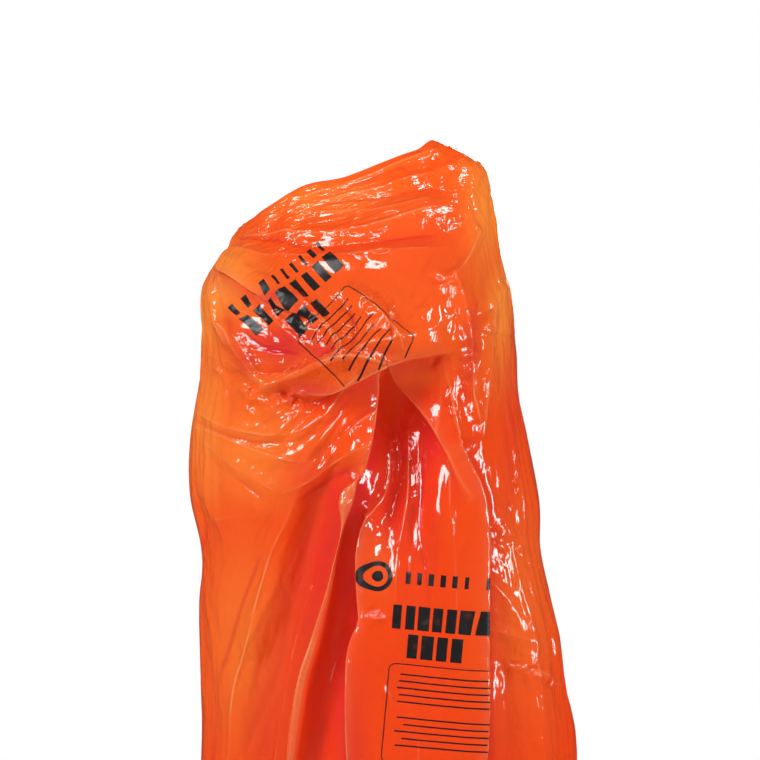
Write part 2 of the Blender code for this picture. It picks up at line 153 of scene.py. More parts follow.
# Creases and soft folds of the front: height in metres, half-width, line.
frontRidges = {
    "topHem": (0.006, 5, (
        (262, 218, 0.6), (300, 196, 1), (345, 185, 1), (382, 170, 1), (420, 156, 1), (440, 150, 0.7),
    )),
    "tensionA": (0.006, 6, ((262, 222, 0.4), (296, 206, 0.9), (367, 190, 1), (413, 177, 1), (463, 160, 0.7))),
    "tensionAUnder": (-0.006, 5, (
        (275, 212, 0.3), (313, 197, 1), (353, 185, 1), (393, 170, 1), (433, 160, 0.6),
    )),
    "tensionB": (0.006, 6, ((250, 236, 0.4), (290, 210, 0.8), (323, 211, 1), (380, 209, 1), (430, 196, 0.5))),
    "tensionBUnder": (-0.006, 6, (
        (262, 232, 0.3), (300, 207, 0.6), (340, 202, 1), (390, 196, 1), (440, 182, 0.6),
    )),
    "tensionC": (0.009, 8, (
        (247, 240, 0.5), (293, 230, 1), (323, 233, 1), (367, 228, 1), (410, 212, 0.9), (452, 200, 0.4),
    )),
    "tensionCUnder": (-0.010, 7, (
        (243, 241, 0.7), (280, 241, 1), (313, 245, 1), (353, 244, 1), (393, 237, 0.9), (436, 232, 0.5),
    )),
    "tensionD": (0.007, 9, (
        (240, 258, 0.4), (290, 254, 0.8), (350, 256, 1), (400, 250, 0.7), (450, 246, 0.3),
    )),
    "topCrease": (0.006, 5, ((436, 172, 0.4), (462, 166, 1), (484, 172, 0.7))),
    "topFall": (-0.007, 8, ((462, 176, 0.5), (478, 215, 1), (486, 250, 0.8), (488, 290, 0.4))),
    "topDimple": (-0.004, 4, ((345, 253, 0.5), (353, 259, 1), (361, 266, 0.4))),
    "topSlope": (-0.006, 14, ((452, 226, 0.4), (428, 262, 1), (410, 300, 0.7))),
    "rollCrease": (-0.016, 7, (
        (222, 281, 0.8), (240, 289, 1), (258, 298, 1), (280, 311, 1), (304, 324, 0.6),
    )),
    "rollRidge": (0.012, 4, ((258, 303, 0.6), (268, 310, 1), (284, 318, 1), (302, 330, 1), (320, 339, 0.6))),
    "rollRidgeLow": (0.008, 4, ((272, 318, 0.5), (280, 327, 1), (294, 340, 1), (308, 351, 0.6))),
    "rollHollow": (-0.010, 7, ((252, 340, 0.5), (266, 350, 1), (290, 354, 1), (308, 358, 0.6))),
    "rollRidgeNear": (0.011, 4, (
        (296, 298, 0.5), (306, 308, 1), (316, 317, 1), (328, 330, 1), (340, 344, 1), (344, 356, 0.5),
    )),
    "rollRidgeNearer": (0.008, 3, ((318, 326, 0.5), (328, 336, 1), (336, 348, 1), (340, 358, 0.5))),
    "endFan": (0.009, 3, ((217, 281, 0.5), (218, 298, 1), (222, 318, 1), (227, 338, 0.8), (232, 350, 0.4))),
    "endFanNear": (0.007, 3, ((220, 283, 0.5), (228, 296, 1), (236, 306, 0.8), (240, 312, 0.4))),
    "endRidge": (0.010, 4, ((228, 330, 0.5), (238, 350, 1), (248, 366, 1), (260, 380, 1), (272, 386, 0.5))),
    "endRidgeNear": (0.008, 3, ((242, 342, 0.5), (250, 356, 1), (258, 370, 1), (266, 378, 0.5))),
    "endRidgeFar": (0.006, 4, ((210, 358, 0.6), (230, 363, 1), (253, 378, 1), (280, 396, 0.6))),
    "bellyFold": (0.008, 4, ((262, 376, 0.6), (282, 372, 1), (304, 364, 1), (326, 360, 1), (344, 356, 0.6))),
    "bellyFoldLow": (0.007, 4, (
        (268, 382, 0.5), (292, 380, 1), (312, 372, 1), (334, 366, 0.8), (350, 362, 0.4),
    )),
    "pocketFold": (0.010, 4, ((262, 388, 0.7), (288, 377, 1), (315, 367, 1), (350, 360, 1), (388, 360, 0.5))),
    "pocketFoldLow": (0.008, 4, (
        (286, 380, 0.7), (298, 393, 1), (314, 397, 1), (334, 389, 1), (356, 372, 0.6),
    )),
    "pocketCrease": (-0.012, 4, ((258, 374, 0.8), (285, 371, 1), (318, 361, 1), (338, 354, 0.5))),
    "pocketCreaseLow": (-0.012, 4, (
        (282, 391, 0.5), (300, 403, 1), (320, 406, 1), (345, 392, 0.8), (368, 374, 0.4),
    )),
    "panelCrease": (-0.010, 5, ((338, 300, 0.5), (352, 316, 1), (358, 335, 1), (352, 352, 0.6))),
    "panelRidge": (0.010, 5, (
        (350, 292, 0.5), (366, 303, 1), (384, 322, 1), (398, 340, 0.8), (402, 352, 0.4),
    )),
    "panelFan": (0.006, 4, ((352, 352, 0.8), (372, 348, 1), (402, 340, 0.7), (424, 334, 0.3))),
    "panelFanLow": (-0.006, 4, ((354, 357, 0.8), (378, 354, 1), (412, 350, 0.5))),
    "swagA": (0.007, 5, (
        (193, 414, 0.7), (216, 424, 1), (245, 432, 1), (272, 435, 1), (300, 431, 1), (322, 418, 1),
        (340, 400, 1), (362, 384, 0.5),
    )),
    "swagAUnder": (-0.007, 6, (
        (196, 424, 0.5), (236, 438, 1), (270, 444, 1), (305, 440, 1), (332, 421, 1), (352, 400, 0.5),
    )),
    "swagB": (0.006, 5, ((193, 429, 0.7), (223, 436, 1), (257, 450, 1), (288, 460, 1), (312, 462, 0.6))),
    "swagC": (0.005, 5, ((203, 443, 0.6), (237, 467, 1), (273, 489, 0.7))),
    "swagCUnder": (-0.005, 6, ((206, 456, 0.4), (236, 478, 1), (262, 497, 0.6))),
    "bandTop": (0.014, 9, (
        (386, 396, 0.3), (377, 427, 0.9), (357, 447, 1), (330, 467, 1), (306, 484, 1), (280, 492, 0.6),
    )),
    "bandUnder": (-0.014, 8, (
        (384, 410, 0.2), (372, 448, 0.9), (348, 468, 1), (322, 486, 1), (298, 500, 0.6),
    )),
    "bandOver": (-0.009, 7, (
        (388, 378, 0.3), (372, 404, 0.9), (352, 426, 1), (326, 450, 1), (300, 468, 0.5),
    )),
    "gatherFan": (0.007, 5, ((391, 372, 0.8), (380, 397, 1), (361, 420, 1), (338, 441, 0.5))),
    "longFold": (0.012, 8, (
        (290, 505, 0.8), (277, 537, 1), (262, 578, 1), (252, 617, 1), (238, 663, 1), (229, 713, 1),
        (222, 800, 0.8), (216, 930, 0.5),
    )),
    "longFoldUnder": (-0.008, 9, (
        (270, 520, 0.5), (256, 562, 1), (238, 612, 1), (222, 660, 1), (212, 720, 0.8), (208, 860, 0.4),
    )),
    "shortFold": (0.005, 5, (
        (308, 592, 0.3), (292, 640, 1), (280, 690, 1), (272, 760, 0.6), (268, 850, 0.3),
    )),
    "innerRidge": (0.026, 8, (
        (366, 440, 0.4), (352, 472, 1), (343, 505, 1), (339, 540, 1), (328, 582, 1), (316, 630, 1),
        (300, 683, 1), (291, 722, 1), (282, 800, 0.8), (276, 930, 0.5),
    )),
    "recessRidge": (0.012, 5, (
        (393, 440, 0.5), (393, 460, 1), (389, 496, 1), (374, 513, 1), (364, 532, 0.6),
    )),
    "recessRidgeNear": (0.014, 5, (
        (413, 430, 0.5), (411, 462, 1), (410, 495, 1), (403, 530, 0.9), (397, 563, 0.5), (394, 620, 0.2),
    )),
    "recessGroove": (-0.012, 6, (
        (428, 426, 0.5), (425, 480, 1), (420, 528, 1), (426, 562, 0.5), (430, 620, 0.2),
    )),
    "flapRidge": (0.004, 9, (
        (440, 366, 0.4), (442, 425, 1), (447, 480, 1), (450, 530, 1), (456, 575, 0.5), (460, 660, 0.3),
    )),
    "flapGroove": (-0.004, 10, (
        (448, 400, 0.4), (456, 440, 1), (467, 474, 1), (473, 507, 1), (477, 540, 0.6), (478, 700, 0.3),
    )),
    "pleatEdge": (0.008, 5, ((437, 356, 0.8), (447, 383, 1), (456, 425, 1), (466, 455, 0.6))),
    "gatherLine": (-0.010, 5, ((367, 361, 0.5), (395, 360, 1), (425, 359, 1), (442, 358, 0.5))),
    "knotRidge": (0.010, 5, (
        (452, 277, 0.7), (460, 300, 1), (462, 330, 1), (464, 363, 1), (472, 392, 1), (478, 420, 0.6),
    )),
    "knotSlit": (-0.022, 4, ((489, 310, 0.3), (472, 318, 1), (469, 340, 1), (468, 362, 0.6))),
    "knotFan": (0.008, 4, ((480, 230, 0.6), (470, 252, 1), (461, 270, 1), (455, 280, 0.6))),
    "knotSide": (0.007, 4, ((508, 288, 0.7), (500, 297, 1), (490, 312, 1), (487, 363, 1), (483, 437, 0.8))),
    "sideGroove": (-0.006, 5, ((505, 300, 0.5), (509, 322, 1), (513, 345, 0.8), (514, 372, 0.4))),
    "sideCrease": (-0.006, 4, ((508, 495, 0.5), (513, 508, 1), (517, 522, 0.5))),
    "sideCreaseFar": (0.005, 4, ((488, 572, 0.7), (500, 590, 1), (512, 605, 0.5))),
    "sideCreaseLow": (0.006, 4, ((486, 628, 0.7), (505, 634, 1), (522, 639, 1), (541, 646, 0.6))),
    "sideCreaseLower": (0.006, 4, ((508, 664, 0.6), (524, 669, 1), (543, 674, 0.8), (560, 688, 0.4))),
    "edgeCrease": (-0.007, 5, ((191, 504, 0.9), (206, 526, 1), (203, 548, 0.7))),
    "edgeCreaseFar": (0.004, 4, ((210, 521, 0.6), (230, 518, 1), (248, 516, 0.5))),
    "lowRidge": (0.007, 7, ((420, 740, 0.2), (416, 820, 1), (410, 930, 0.8))),
}

# Laps of the front, where the film lies over itself: step in metres, half-width of the turn,
# overlap, how far each side takes to level out, a pointer to the upper layer, line.
frontLaps = {
    "rollLap": (0.014, 4, 5, 20, (0, -1), (
        (220, 279, 0.5), (240, 288, 0.9), (258, 296, 1), (278, 307, 1), (296, 317, 0.8), (310, 326, 0.3),
    )),
    "wrapEdge": (0.036, 6, 8, 40, (0, -1), (
        (296, 396, 0.25), (330, 397, 0.6), (360, 380, 0.9), (388, 364, 1), (416, 359, 0.8),
        (441, 357, 0.5),
    )),
    "flapEdge": (0.030, 6, 9, 34, (1, -1), (
        (389, 366, 0.7), (401, 382, 1), (419, 403, 1), (430, 418, 0.9), (446, 452, 0.6),
        (462, 500, 0.25),
    )),
    "drapeEdge": (0.030, 6, 9, 30, (-1, 0), (
        (386, 372, 0.5), (376, 396, 0.9), (370, 440, 1), (360, 478, 1), (352, 504, 1), (345, 535, 0.9),
        (336, 580, 0.7), (322, 640, 0.5), (306, 700, 0.4), (294, 800, 0.2),
    )),
    "panelLeft": (0.024, 5, 8, 26, (1, 0), (
        (366, 520, 0.5), (360, 540, 1), (357, 565, 1), (358, 603, 1), (362, 626, 0.9), (355, 642, 1),
        (349, 662, 1), (347, 697, 1), (349, 740, 0.9), (352, 850, 0.6), (356, 960, 0.2),
    )),
    "panelRight": (0.016, 5, 12, 30, (-1, 0), (
        (462, 446, 0.5), (472, 472, 0.8), (478, 497, 1), (482, 530, 1), (483, 600, 1), (483, 717, 1),
        (482, 800, 0.8), (478, 930, 0.4),
    )),
    "innerLap": (0.014, 5, 6, 22, (1, 0), (
        (352, 476, 0.7), (337, 496, 1), (337, 530, 1), (326, 580, 0.9), (312, 632, 0.8), (294, 690, 0.7),
        (284, 780, 0.4),
    )),
    "slitLap": (0.012, 4, 5, 16, (1, 0), ((472, 312, 0.8), (468, 340, 1), (467, 366, 0.8), (470, 400, 0.4))),
}

# The back isn't in the drawing's view: its lines are (u, w) as seen through from the front.
backForms = {
    "leftPleat": (0.022, 30, 24, (
        (300, 330, 0.3), (286, 430, 0.9), (276, 600, 1), (268, 800, 1), (264, 960, 0.4),
    )),
    "leftHollow": (-0.026, 26, 30, (
        (345, 320, 0.2), (338, 450, 0.9), (330, 620, 1), (326, 820, 1), (326, 960, 0.3),
    )),
    "middlePleat": (0.022, 24, 30, (
        (392, 300, 0.2), (396, 420, 0.9), (398, 620, 1), (402, 820, 1), (402, 960, 0.3),
    )),
    "rightHollow": (-0.026, 30, 24, (
        (440, 300, 0.2), (450, 450, 0.9), (462, 620, 1), (468, 820, 1), (470, 960, 0.3),
    )),
    "rightPleat": (0.014, 22, 22, (
        (486, 330, 0.2), (500, 460, 0.8), (516, 640, 1), (526, 820, 0.8), (528, 960, 0.3),
    )),
    "topSwell": (0.018, 50, 40, ((280, 262, 0.6), (350, 262, 0.9), (440, 220, 1))),
    "middleHollow": (-0.012, 50, 50, ((230, 500, 0.5), (380, 500, 1), (520, 500, 0.5))),
}
backRidges = {
    "capeSwagA": (0.014, 8, ((262, 262, 0.5), (320, 292, 1), (385, 296, 1), (450, 262, 1), (484, 220, 0.4))),
    "capeSwagAUnder": (-0.009, 9, (
        (262, 280, 0.4), (322, 312, 1), (388, 316, 1), (452, 284, 1), (488, 240, 0.4),
    )),
    "capeSwagB": (0.013, 8, ((250, 300, 0.4), (310, 340, 1), (380, 350, 1), (446, 322, 1), (492, 270, 0.4))),
    "capeSwagBUnder": (-0.008, 9, (
        (248, 322, 0.4), (308, 362, 1), (382, 372, 1), (450, 344, 0.9), (498, 300, 0.3),
    )),
    "fallA": (0.010, 7, ((250, 430, 0.4), (240, 520, 1), (232, 650, 1), (226, 820, 0.8), (222, 960, 0.3))),
    "fallB": (0.012, 7, ((312, 400, 0.3), (306, 520, 1), (302, 690, 1), (298, 860, 0.8), (296, 980, 0.3))),
    "fallC": (0.010, 6, ((366, 420, 0.3), (364, 540, 1), (360, 720, 1), (362, 900, 0.7))),
    "fallD": (0.010, 7, ((424, 400, 0.3), (430, 560, 1), (436, 740, 1), (438, 930, 0.6))),
    "fallE": (0.010, 6, ((482, 440, 0.4), (492, 560, 1), (498, 720, 1), (498, 900, 0.7))),
    "fallF": (0.008, 6, ((528, 520, 0.4), (546, 660, 1), (556, 840, 0.8), (556, 960, 0.3))),
    "hem": (0.005, 5, ((255, 238, 0.7), (300, 228, 1), (350, 208, 1), (400, 180, 1), (436, 156, 0.7))),
}
backLaps = {
    "pleatLap": (0.016, 6, 9, 28, (1, 0), (
        (352, 360, 0.3), (350, 470, 0.9), (346, 620, 1), (346, 800, 0.9), (350, 950, 0.3),
    )),
    "pleatLapFar": (0.014, 6, 8, 28, (-1, 0), (
        (470, 380, 0.3), (480, 500, 0.9), (488, 650, 1), (492, 820, 0.8), (492, 950, 0.3),
    )),
}

# Where the film is crinkled: (u, w, half-width, half-height, strength).
frontCrinkles = (
    (256, 398, 24, 14, 0.5), (290, 405, 18, 15, 0.45), (335, 372, 40, 16, 0.8), (374, 318, 26, 28, 0.5),
    (292, 330, 30, 16, 0.5), (448, 294, 12, 30, 0.45), (466, 370, 13, 54, 0.45), (506, 541, 22, 20, 0.45),
    (515, 484, 8, 20, 0.35), (492, 392, 10, 18, 0.5), (200, 522, 14, 40, 0.5), (526, 670, 30, 20, 0.5),
    (447, 222, 26, 10, 0.5), (380, 250, 18, 8, 0.5), (345, 230, 62, 11, 0.35), (428, 152, 40, 7, 0.4),
    (411, 466, 9, 36, 0.45), (347, 492, 12, 20, 0.5), (374, 620, 10, 10, 0.6), (222, 371, 10, 7, 0.5),
    (325, 452, 24, 10, 0.3), (220, 300, 14, 22, 0.4), (390, 980, 220, 50, 0.8),
)
# Spots of the front that are turned to a lamp and shine: (u, w, half-width, half-height).
shiningSpots = (
    (304, 234, 14, 5), (330, 237, 14, 5), (355, 234, 13, 5), (378, 224, 9, 5), (397, 213, 12, 5),
    (440, 223, 9, 4), (456, 218, 8, 4), (380, 250, 11, 4), (300, 197, 20, 4),
    (250, 390, 9, 6), (263, 399, 8, 6), (252, 409, 9, 5), (288, 397, 6, 6), (298, 404, 6, 7),
    (290, 414, 8, 5), (324, 413, 4, 8), (220, 371, 7, 4),
    (360, 305, 7, 5), (373, 311, 8, 5), (367, 300, 8, 4), (382, 326, 5, 8), (391, 320, 3, 16),
    (350, 482, 5, 8), (344, 497, 4, 9), (412, 450, 3, 10), (412, 478, 3, 12),
    (440, 278, 9, 4), (455, 279, 6, 4), (445, 290, 6, 7), (450, 327, 3, 5),
    (462, 336, 6, 11), (466, 352, 7, 10), (469, 368, 7, 10), (473, 385, 7, 11), (476, 404, 6, 10),
    (436, 364, 5, 6), (448, 394, 3, 8), (452, 410, 3, 8), (515, 484, 4, 13),
    (495, 535, 5, 4), (508, 545, 6, 4), (520, 552, 4, 5), (502, 556, 4, 3),
    (516, 667, 7, 3), (532, 671, 7, 3), (551, 685, 6, 3), (376, 616, 8, 8),
    (264, 307, 4, 3), (276, 313, 7, 3), (290, 320, 7, 3), (304, 329, 6, 3),
    (305, 306, 4, 4), (313, 316, 5, 5), (325, 328, 5, 4), (337, 339, 5, 4), (343, 350, 3, 5),
)
backCrinkles = (
    (330, 300, 60, 40, 0.7), (460, 300, 50, 60, 0.7), (300, 520, 50, 60, 0.6), (500, 600, 50, 80, 0.6),
    (430, 450, 50, 50, 0.5), (390, 760, 90, 60, 0.6), (260, 800, 60, 70, 0.5), (390, 980, 220, 50, 0.8),
    (350, 225, 90, 14, 0.6),
)
# Painted shade where the film lies deep between folds, and redder film where it lies double: spots painted
# redder and darker, as above.
frontPlyAndShade = (
    (282, 346, 36, 16, 0.9), (268, 299, 26, 5, 0.8), (322, 354, 22, 9, 0.7), (310, 390, 32, 9, 0.8),
    (252, 362, 12, 16, 0.6), (300, 316, 14, 6, 0.6), (240, 330, 7, 22, 0.4),
    (402, 396, 18, 26, 0.95), (402, 440, 26, 54, 0.9), (396, 505, 24, 48, 0.7), (348, 560, 10, 60, 0.7),
    (340, 650, 12, 66, 0.6), (318, 540, 18, 60, 0.5), (300, 640, 16, 70, 0.35), (286, 360, 26, 9, 0.6),
    (424, 372, 22, 6, 0.1), (430, 480, 10, 80, 0.4), (512, 420, 9, 120, 0.3), (530, 620, 14, 140, 0.1),
    (470, 340, 5, 26, 0.9), (222, 285, 14, 8, 0.4), (336, 492, 6, 24, 0.5), (350, 760, 16, 90, 0.6),
    (300, 780, 18, 90, 0.4), (310, 480, 26, 30, 0.4), (410, 235, 70, 60, 0.22),
)
backPlyAndShade = ((338, 620, 16, 260, 0.4), (464, 640, 16, 260, 0.4))
crinkle = {
    "plain": 0.08,
    # times folded, longest pitch, next pitch's share, slope, spread of ways
    "small": (4, 36, 0.62, 0.26, 1.6),
    "large": (3, 130, 0.60, 0.11, 0.7),
}
# Where the film is pulled so tight that it hardly crumples: (u, w, half-width, half-height, share).
calmSpots = (
    (345, 215, 120, 36, 0.8), (455, 215, 40, 60, 0.5), (300, 300, 60, 30, 0.4), (430, 620, 50, 90, 0.4),
    (450, 530, 26, 80, 0.4),
)
# Creases side by side: how they run ("edge" follows the mouth, "down", or "fan" out of a
# (u, w)), number of ways, shortest and longest pitch (of a fan, 100 from its middle), slope,
# and the spots where they show.
frontFlows = {
    "taut": (("edge",), (8, 8, 24, 0.15), (
        (340, 212, 105, 26, 0.7), (440, 185, 46, 30, 0.35), (290, 245, 50, 16, 0.5),
    )),
    "gather": (("fan", 392, 348), (9, 6, 18, 0.22), (
        (270, 372, 62, 34, 1.0), (312, 322, 44, 30, 0.8), (300, 420, 70, 34, 0.9), (352, 330, 34, 40, 1.0),
        (330, 455, 50, 40, 0.6),
    )),
    "fall": (("fan", 400, 240), (7, 5, 16, 0.13), (
        (250, 600, 80, 150, 0.9), (300, 800, 120, 160, 0.8), (340, 520, 30, 90, 0.7),
    )),
    "knot": (("fan", 466, 200), (8, 7, 18, 0.13), (
        (470, 350, 24, 90, 1.0), (505, 480, 24, 90, 0.5), (520, 660, 40, 90, 0.5), (452, 300, 16, 40, 0.8),
        (406, 450, 20, 70, 0.6),
    )),
    "side": (("fan", 470, 150), (6, 8, 22, 0.10), (
        (530, 640, 50, 200, 0.7), (500, 300, 22, 90, 0.8), (430, 650, 60, 140, 0.35),
    )),
    "leftEdge": (("fan", 240, 200), (6, 7, 18, 0.18), ((205, 420, 24, 110, 0.9), (212, 640, 24, 160, 0.6))),
}
backFlows = {
    "cape": (("edge",), (7, 10, 30, 0.34), ((370, 290, 130, 50, 1.0),)),
    "falls": (("fan", 380, 60), (9, 4, 15, 0.42), ((380, 640, 180, 260, 1.0),)),
}
# Painted light: where light would come through, the film is painted more yellow: spots as above.
frontPaintedLight = (
    (228, 285, 30, 40, 0.9), (211, 318, 20, 44, 1.0), (205, 420, 30, 100, 0.8), (250, 450, 70, 60, 0.6),
    (488, 205, 22, 70, 1.0), (502, 310, 18, 70, 0.9), (414, 378, 20, 10, 0.4),
    (330, 200, 70, 16, 0.4), (240, 640, 46, 120, 0.5), (520, 600, 36, 120, 0.4), (250, 390, 46, 20, 0.4),
    (380, 560, 14, 40, 0.3),
)
backPaintedLight = ((300, 300, 60, 60, 0.5), (500, 420, 40, 120, 0.5), (260, 620, 40, 160, 0.5))


# Numbers

def smoothStep(low, high, value):
    t = np.clip((value - low) / (high - low), 0, 1)
    return t * t * (3 - 2 * t)


def smoothThrough(knots, values, at):
    knots, values, at = np.asarray(knots, float), np.asarray(values, float), np.asarray(at, float)
    i = np.clip(np.searchsorted(knots, at, side="right") - 1, 0, len(knots) - 2)
    slopes = np.gradient(values, knots)
    step = knots[i + 1] - knots[i]
    t = (at - knots[i]) / step
    return (
        (2 * t**3 - 3 * t**2 + 1) * values[i] + (t**3 - 2 * t**2 + t) * step * slopes[i]
        + (3 * t**2 - 2 * t**3) * values[i + 1] + (t**3 - t**2) * step * slopes[i + 1]
    )


def cloudNoise(x, y, size, seed):
    lattice = np.random.default_rng(seed).uniform(-1, 1, (97, 89))
    x, y = x / size + 1000.0, y / size + 1000.0
    i, j = np.floor(x).astype(int), np.floor(y).astype(int)
    fx, fy = x - i, y - j
    fx, fy = fx * fx * fx * (fx * (6 * fx - 15) + 10), fy * fy * fy * (fy * (6 * fy - 15) + 10)
    i0, i1, j0, j1 = i % 97, (i + 1) % 97, j % 89, (j + 1) % 89
    low = lattice[i0, j0] * (1 - fx) + lattice[i1, j0] * fx
    high = lattice[i0, j1] * (1 - fx) + lattice[i1, j1] * fx
    return low * (1 - fy) + high * fy


def crumpled(u, w, seed, times, longest, share, slope, spread):
    # Folds the sheet again and again, so that facets are flat and creases break at older ones.
    dice = np.random.default_rng(seed)
    x = u + 9 * cloudNoise(u, w, 60, seed + 1) + 2.5 * cloudNoise(u, w, 21, seed + 3)
    y = w + 9 * cloudNoise(u, w, 60, seed + 2) + 2.5 * cloudNoise(u, w, 21, seed + 4)
    total, pitch = np.zeros_like(u), longest
    for _ in range(times):
        turn = dice.normal(0, spread)
        cos, sin = math.cos(turn), math.sin(turn)
        t = (x * cos + y * sin) / pitch + dice.uniform()
        back = np.abs(t % 2 - 1)
        total += (back - 0.5) * pitch / drawing["perMetre"] * slope * dice.uniform(0.7, 1.1)
        x, y = x + (back - t) * pitch * cos, y + (back - t) * pitch * sin
        pitch *= share
    return total


def flowWays(u, w, edge, way):
    # Coordinates across and along a flow of creases, and how much it is spread there.
    if way[0] == "fan":
        radius = np.hypot(u - way[1], w - way[2]) + 12
        return 100 * np.arctan2(u - way[1], w - way[2]), 100 * np.log(radius / 100), radius / 100
    if way[0] == "edge":
        return w - edge * np.exp(-np.maximum(w - edge, 0) / 160), u, np.ones_like(u)
    return u, w, np.ones_like(u)


def streaked(across, along, size, waves, shortest, longest, slope, seed):
    # Straight creases side by side, which come and go.
    dice = np.random.default_rng(seed)
    total = np.zeros_like(across)
    for k in range(waves):
        pitch = shortest * (longest / shortest) ** dice.uniform()
        bend = cloudNoise(across, along * 0.30, 2.4 * pitch + 8, seed + 31 * k) * 0.55
        phase = (across + along * dice.normal(0, 0.08)) / pitch + bend + dice.uniform()
        fold = np.abs((phase % 1) * 2 - 1) - 0.5
        patch = smoothStep(-0.1, 0.5, cloudNoise(across, along * 0.22, 1.6 * pitch + 6, seed + 17 * k + 5))
        total += fold * patch * pitch / drawing["perMetre"] * slope / 2
    return total * size


def alongLine(u, w, line):
    # Distance from a line, the strength there, the direction away from it, and the side.
    best = np.full(u.shape, 1e9)
    strength, awayU, awayW, side = np.zeros_like(u), np.zeros_like(u), np.zeros_like(u), np.ones_like(u)
    for (u0, w0, k0), (u1, w1, k1) in zip(line, line[1:]):
        runU, runW = u1 - u0, w1 - w0
        share = np.clip(((u - u0) * runU + (w - w0) * runW) / (runU**2 + runW**2), 0, 1)
        du, dw = u - u0 - share * runU, w - w0 - share * runW
        away = np.hypot(du, dw)
        nearer = away < best
        best = np.where(nearer, away, best)
        strength = np.where(nearer, k0 + (k1 - k0) * share, strength)
        long = math.hypot(runU, runW)
        awayU = np.where(nearer, -runW / long, awayU)
        awayW = np.where(nearer, runU / long, awayW)
        side = np.where(nearer, np.where((w - w0) * runU > (u - u0) * runW, 1, -1), side)
    return best, strength, awayU, awayW, side


def smoothLine(line, times=2):
    # Rounds a drawn line off, so that no fold has a corner.
    points = [tuple(map(float, p)) for p in line]
    for _ in range(times):
        made = [points[0]]
        for a, b in zip(points, points[1:]):
            made.append(tuple(0.75 * p + 0.25 * q for p, q in zip(a, b)))
            made.append(tuple(0.25 * p + 0.75 * q for p, q in zip(a, b)))
        points = made + [points[-1]]
    return points


def tent(away, reach, round):
    # 1 at the line and 0 past its reach, with straight flanks and a crest rounded by so much.
    t = 1 - (np.sqrt(away**2 + round**2) - round) / reach
    return (t + np.sqrt(t * t + 0.008)) / 2 - 0.002


def endFade(u, w, line, width):
    # Rounds the two ends of a fold off instead of letting them stop in a disc.
    (u0, w0, _), (u1, w1, _) = line[0], line[1]
    (u2, w2, _), (u3, w3, _) = line[-2], line[-1]
    first = ((u - u0) * (u1 - u0) + (w - w0) * (w1 - w0)) / math.hypot(u1 - u0, w1 - w0)
    last = ((u - u3) * (u2 - u3) + (w - w3) * (w2 - w3)) / math.hypot(u2 - u3, w2 - w3)
    return smoothStep(-1.5 * width, 0.5 * width, first) * smoothStep(-1.5 * width, 0.5 * width, last)


# The film

folding = {
    "wander": 1.6,  # how far the drawn lines wander
    "wanderSize": 46,
    "sideFade": 0.055,  # share s of a web over which its folds fade to the side crease
    "floorFade": 0.05,
    "webWidth": 620,  # the creases are laid out on a web this wide, in the drawing's measure
    "backCrinkle": 0.30,
    "sideCrinkle": 0.22,
    "swell": 0.0030,
    "slump": 0.014,  # height of the folds at the foot
    "outShare": 0.35,  # folds stand out to the front and hardly widen the bag
    "shineCalm": 0.65,  # how much of the creases goes where the film shines
    "farAway": 60.0,
}
eyePlace = np.array((
    (drawing["eye"] - drawing["middle"]) / drawing["perMetre"], -drawing["viewDistance"],
    drawing["topHeight"] - drawing["eye"] / drawing["perMetre"],
))


def webDrawing(web, columns):
    # Where each point of one web lies on the drawing, and its depth, before any fold.
    evenly = np.linspace(0, 1, columns + 1)
    low = np.linspace(0, 0.3, bag["lowRows"], endpoint=False)
    s, v = np.meshgrid(
        evenly + 0.03 * np.sin(2 * np.pi * evenly),
        np.concatenate((low, np.linspace(0.3, 1, bag["highRows"] + 1))),
    )
    knots = [row[0] for row in stations]
    leftW = smoothThrough(knots, [row[1] for row in stations], v)
    rightW = smoothThrough(knots, [row[2] for row in stations], v)
    leftU = smoothThrough(*zip(*leftSide), leftW)
    rightU = smoothThrough(*zip(*rightSide), rightW)
    across = (1 - np.cos(np.pi * s)) / 2
    u, w = leftU + (rightU - leftU) * across, leftW + (rightW - leftW) * across
    edge = mouthFront if web == "front" else mouthBack
    (startU, startW), (endU, endW) = edge[0], edge[-1]
    edgeU = startU + (endU - startU) * across
    straight = startW + (endW - startW) * across
    lift = smoothThrough(*zip(*edge), edgeU) - straight
    w = w + lift * smoothStep(bag["mouthReach"], 1, v)
    depth = smoothThrough(knots, [row[3 if web == "front" else 4] for row in stations], v)
    y = depth * np.sin(np.pi * s) ** bag["sectionPower"] * (-1 if web == "front" else 1)
    return s, v, u, w, y


def onSight(u, w, y):
    # The point at depth y that is seen at (u, w). Near the floor, and behind, it goes straight in.
    eye = drawing["eye"]
    near = 1 + np.minimum(y, 0) / drawing["viewDistance"] * (1 - smoothStep(740, 1000, w))
    x = (eye + (u - eye) * near - drawing["middle"]) / drawing["perMetre"]
    z = drawing["topHeight"] - (eye + (w - eye) * near) / drawing["perMetre"]
    return np.stack((x, y, z), axis=-1)


def seenAt(points):
    # Where on the drawing each point of the film is seen.
    far = drawing["viewDistance"] * drawing["perMetre"]
    seen = points - eyePlace
    eye = drawing["eye"]
    return eye + seen[..., 0] / seen[..., 1] * far, eye - seen[..., 2] / seen[..., 1] * far


def gridNormals(points):
    up = np.gradient(points, axis=0)
    right = np.gradient(points, axis=1)
    normal = np.cross(right, up)
    return normal / np.maximum(np.linalg.norm(normal, axis=-1, keepdims=True), 1e-9)


def spotMask(u, w, spots, plain):
    mask = np.full_like(u, plain)
    for cu, cw, ru, rw, strength in spots:
        mask = np.maximum(mask, strength * np.exp(-(((u - cu) / ru) ** 2 + ((w - cw) / rw) ** 2)))
    return mask


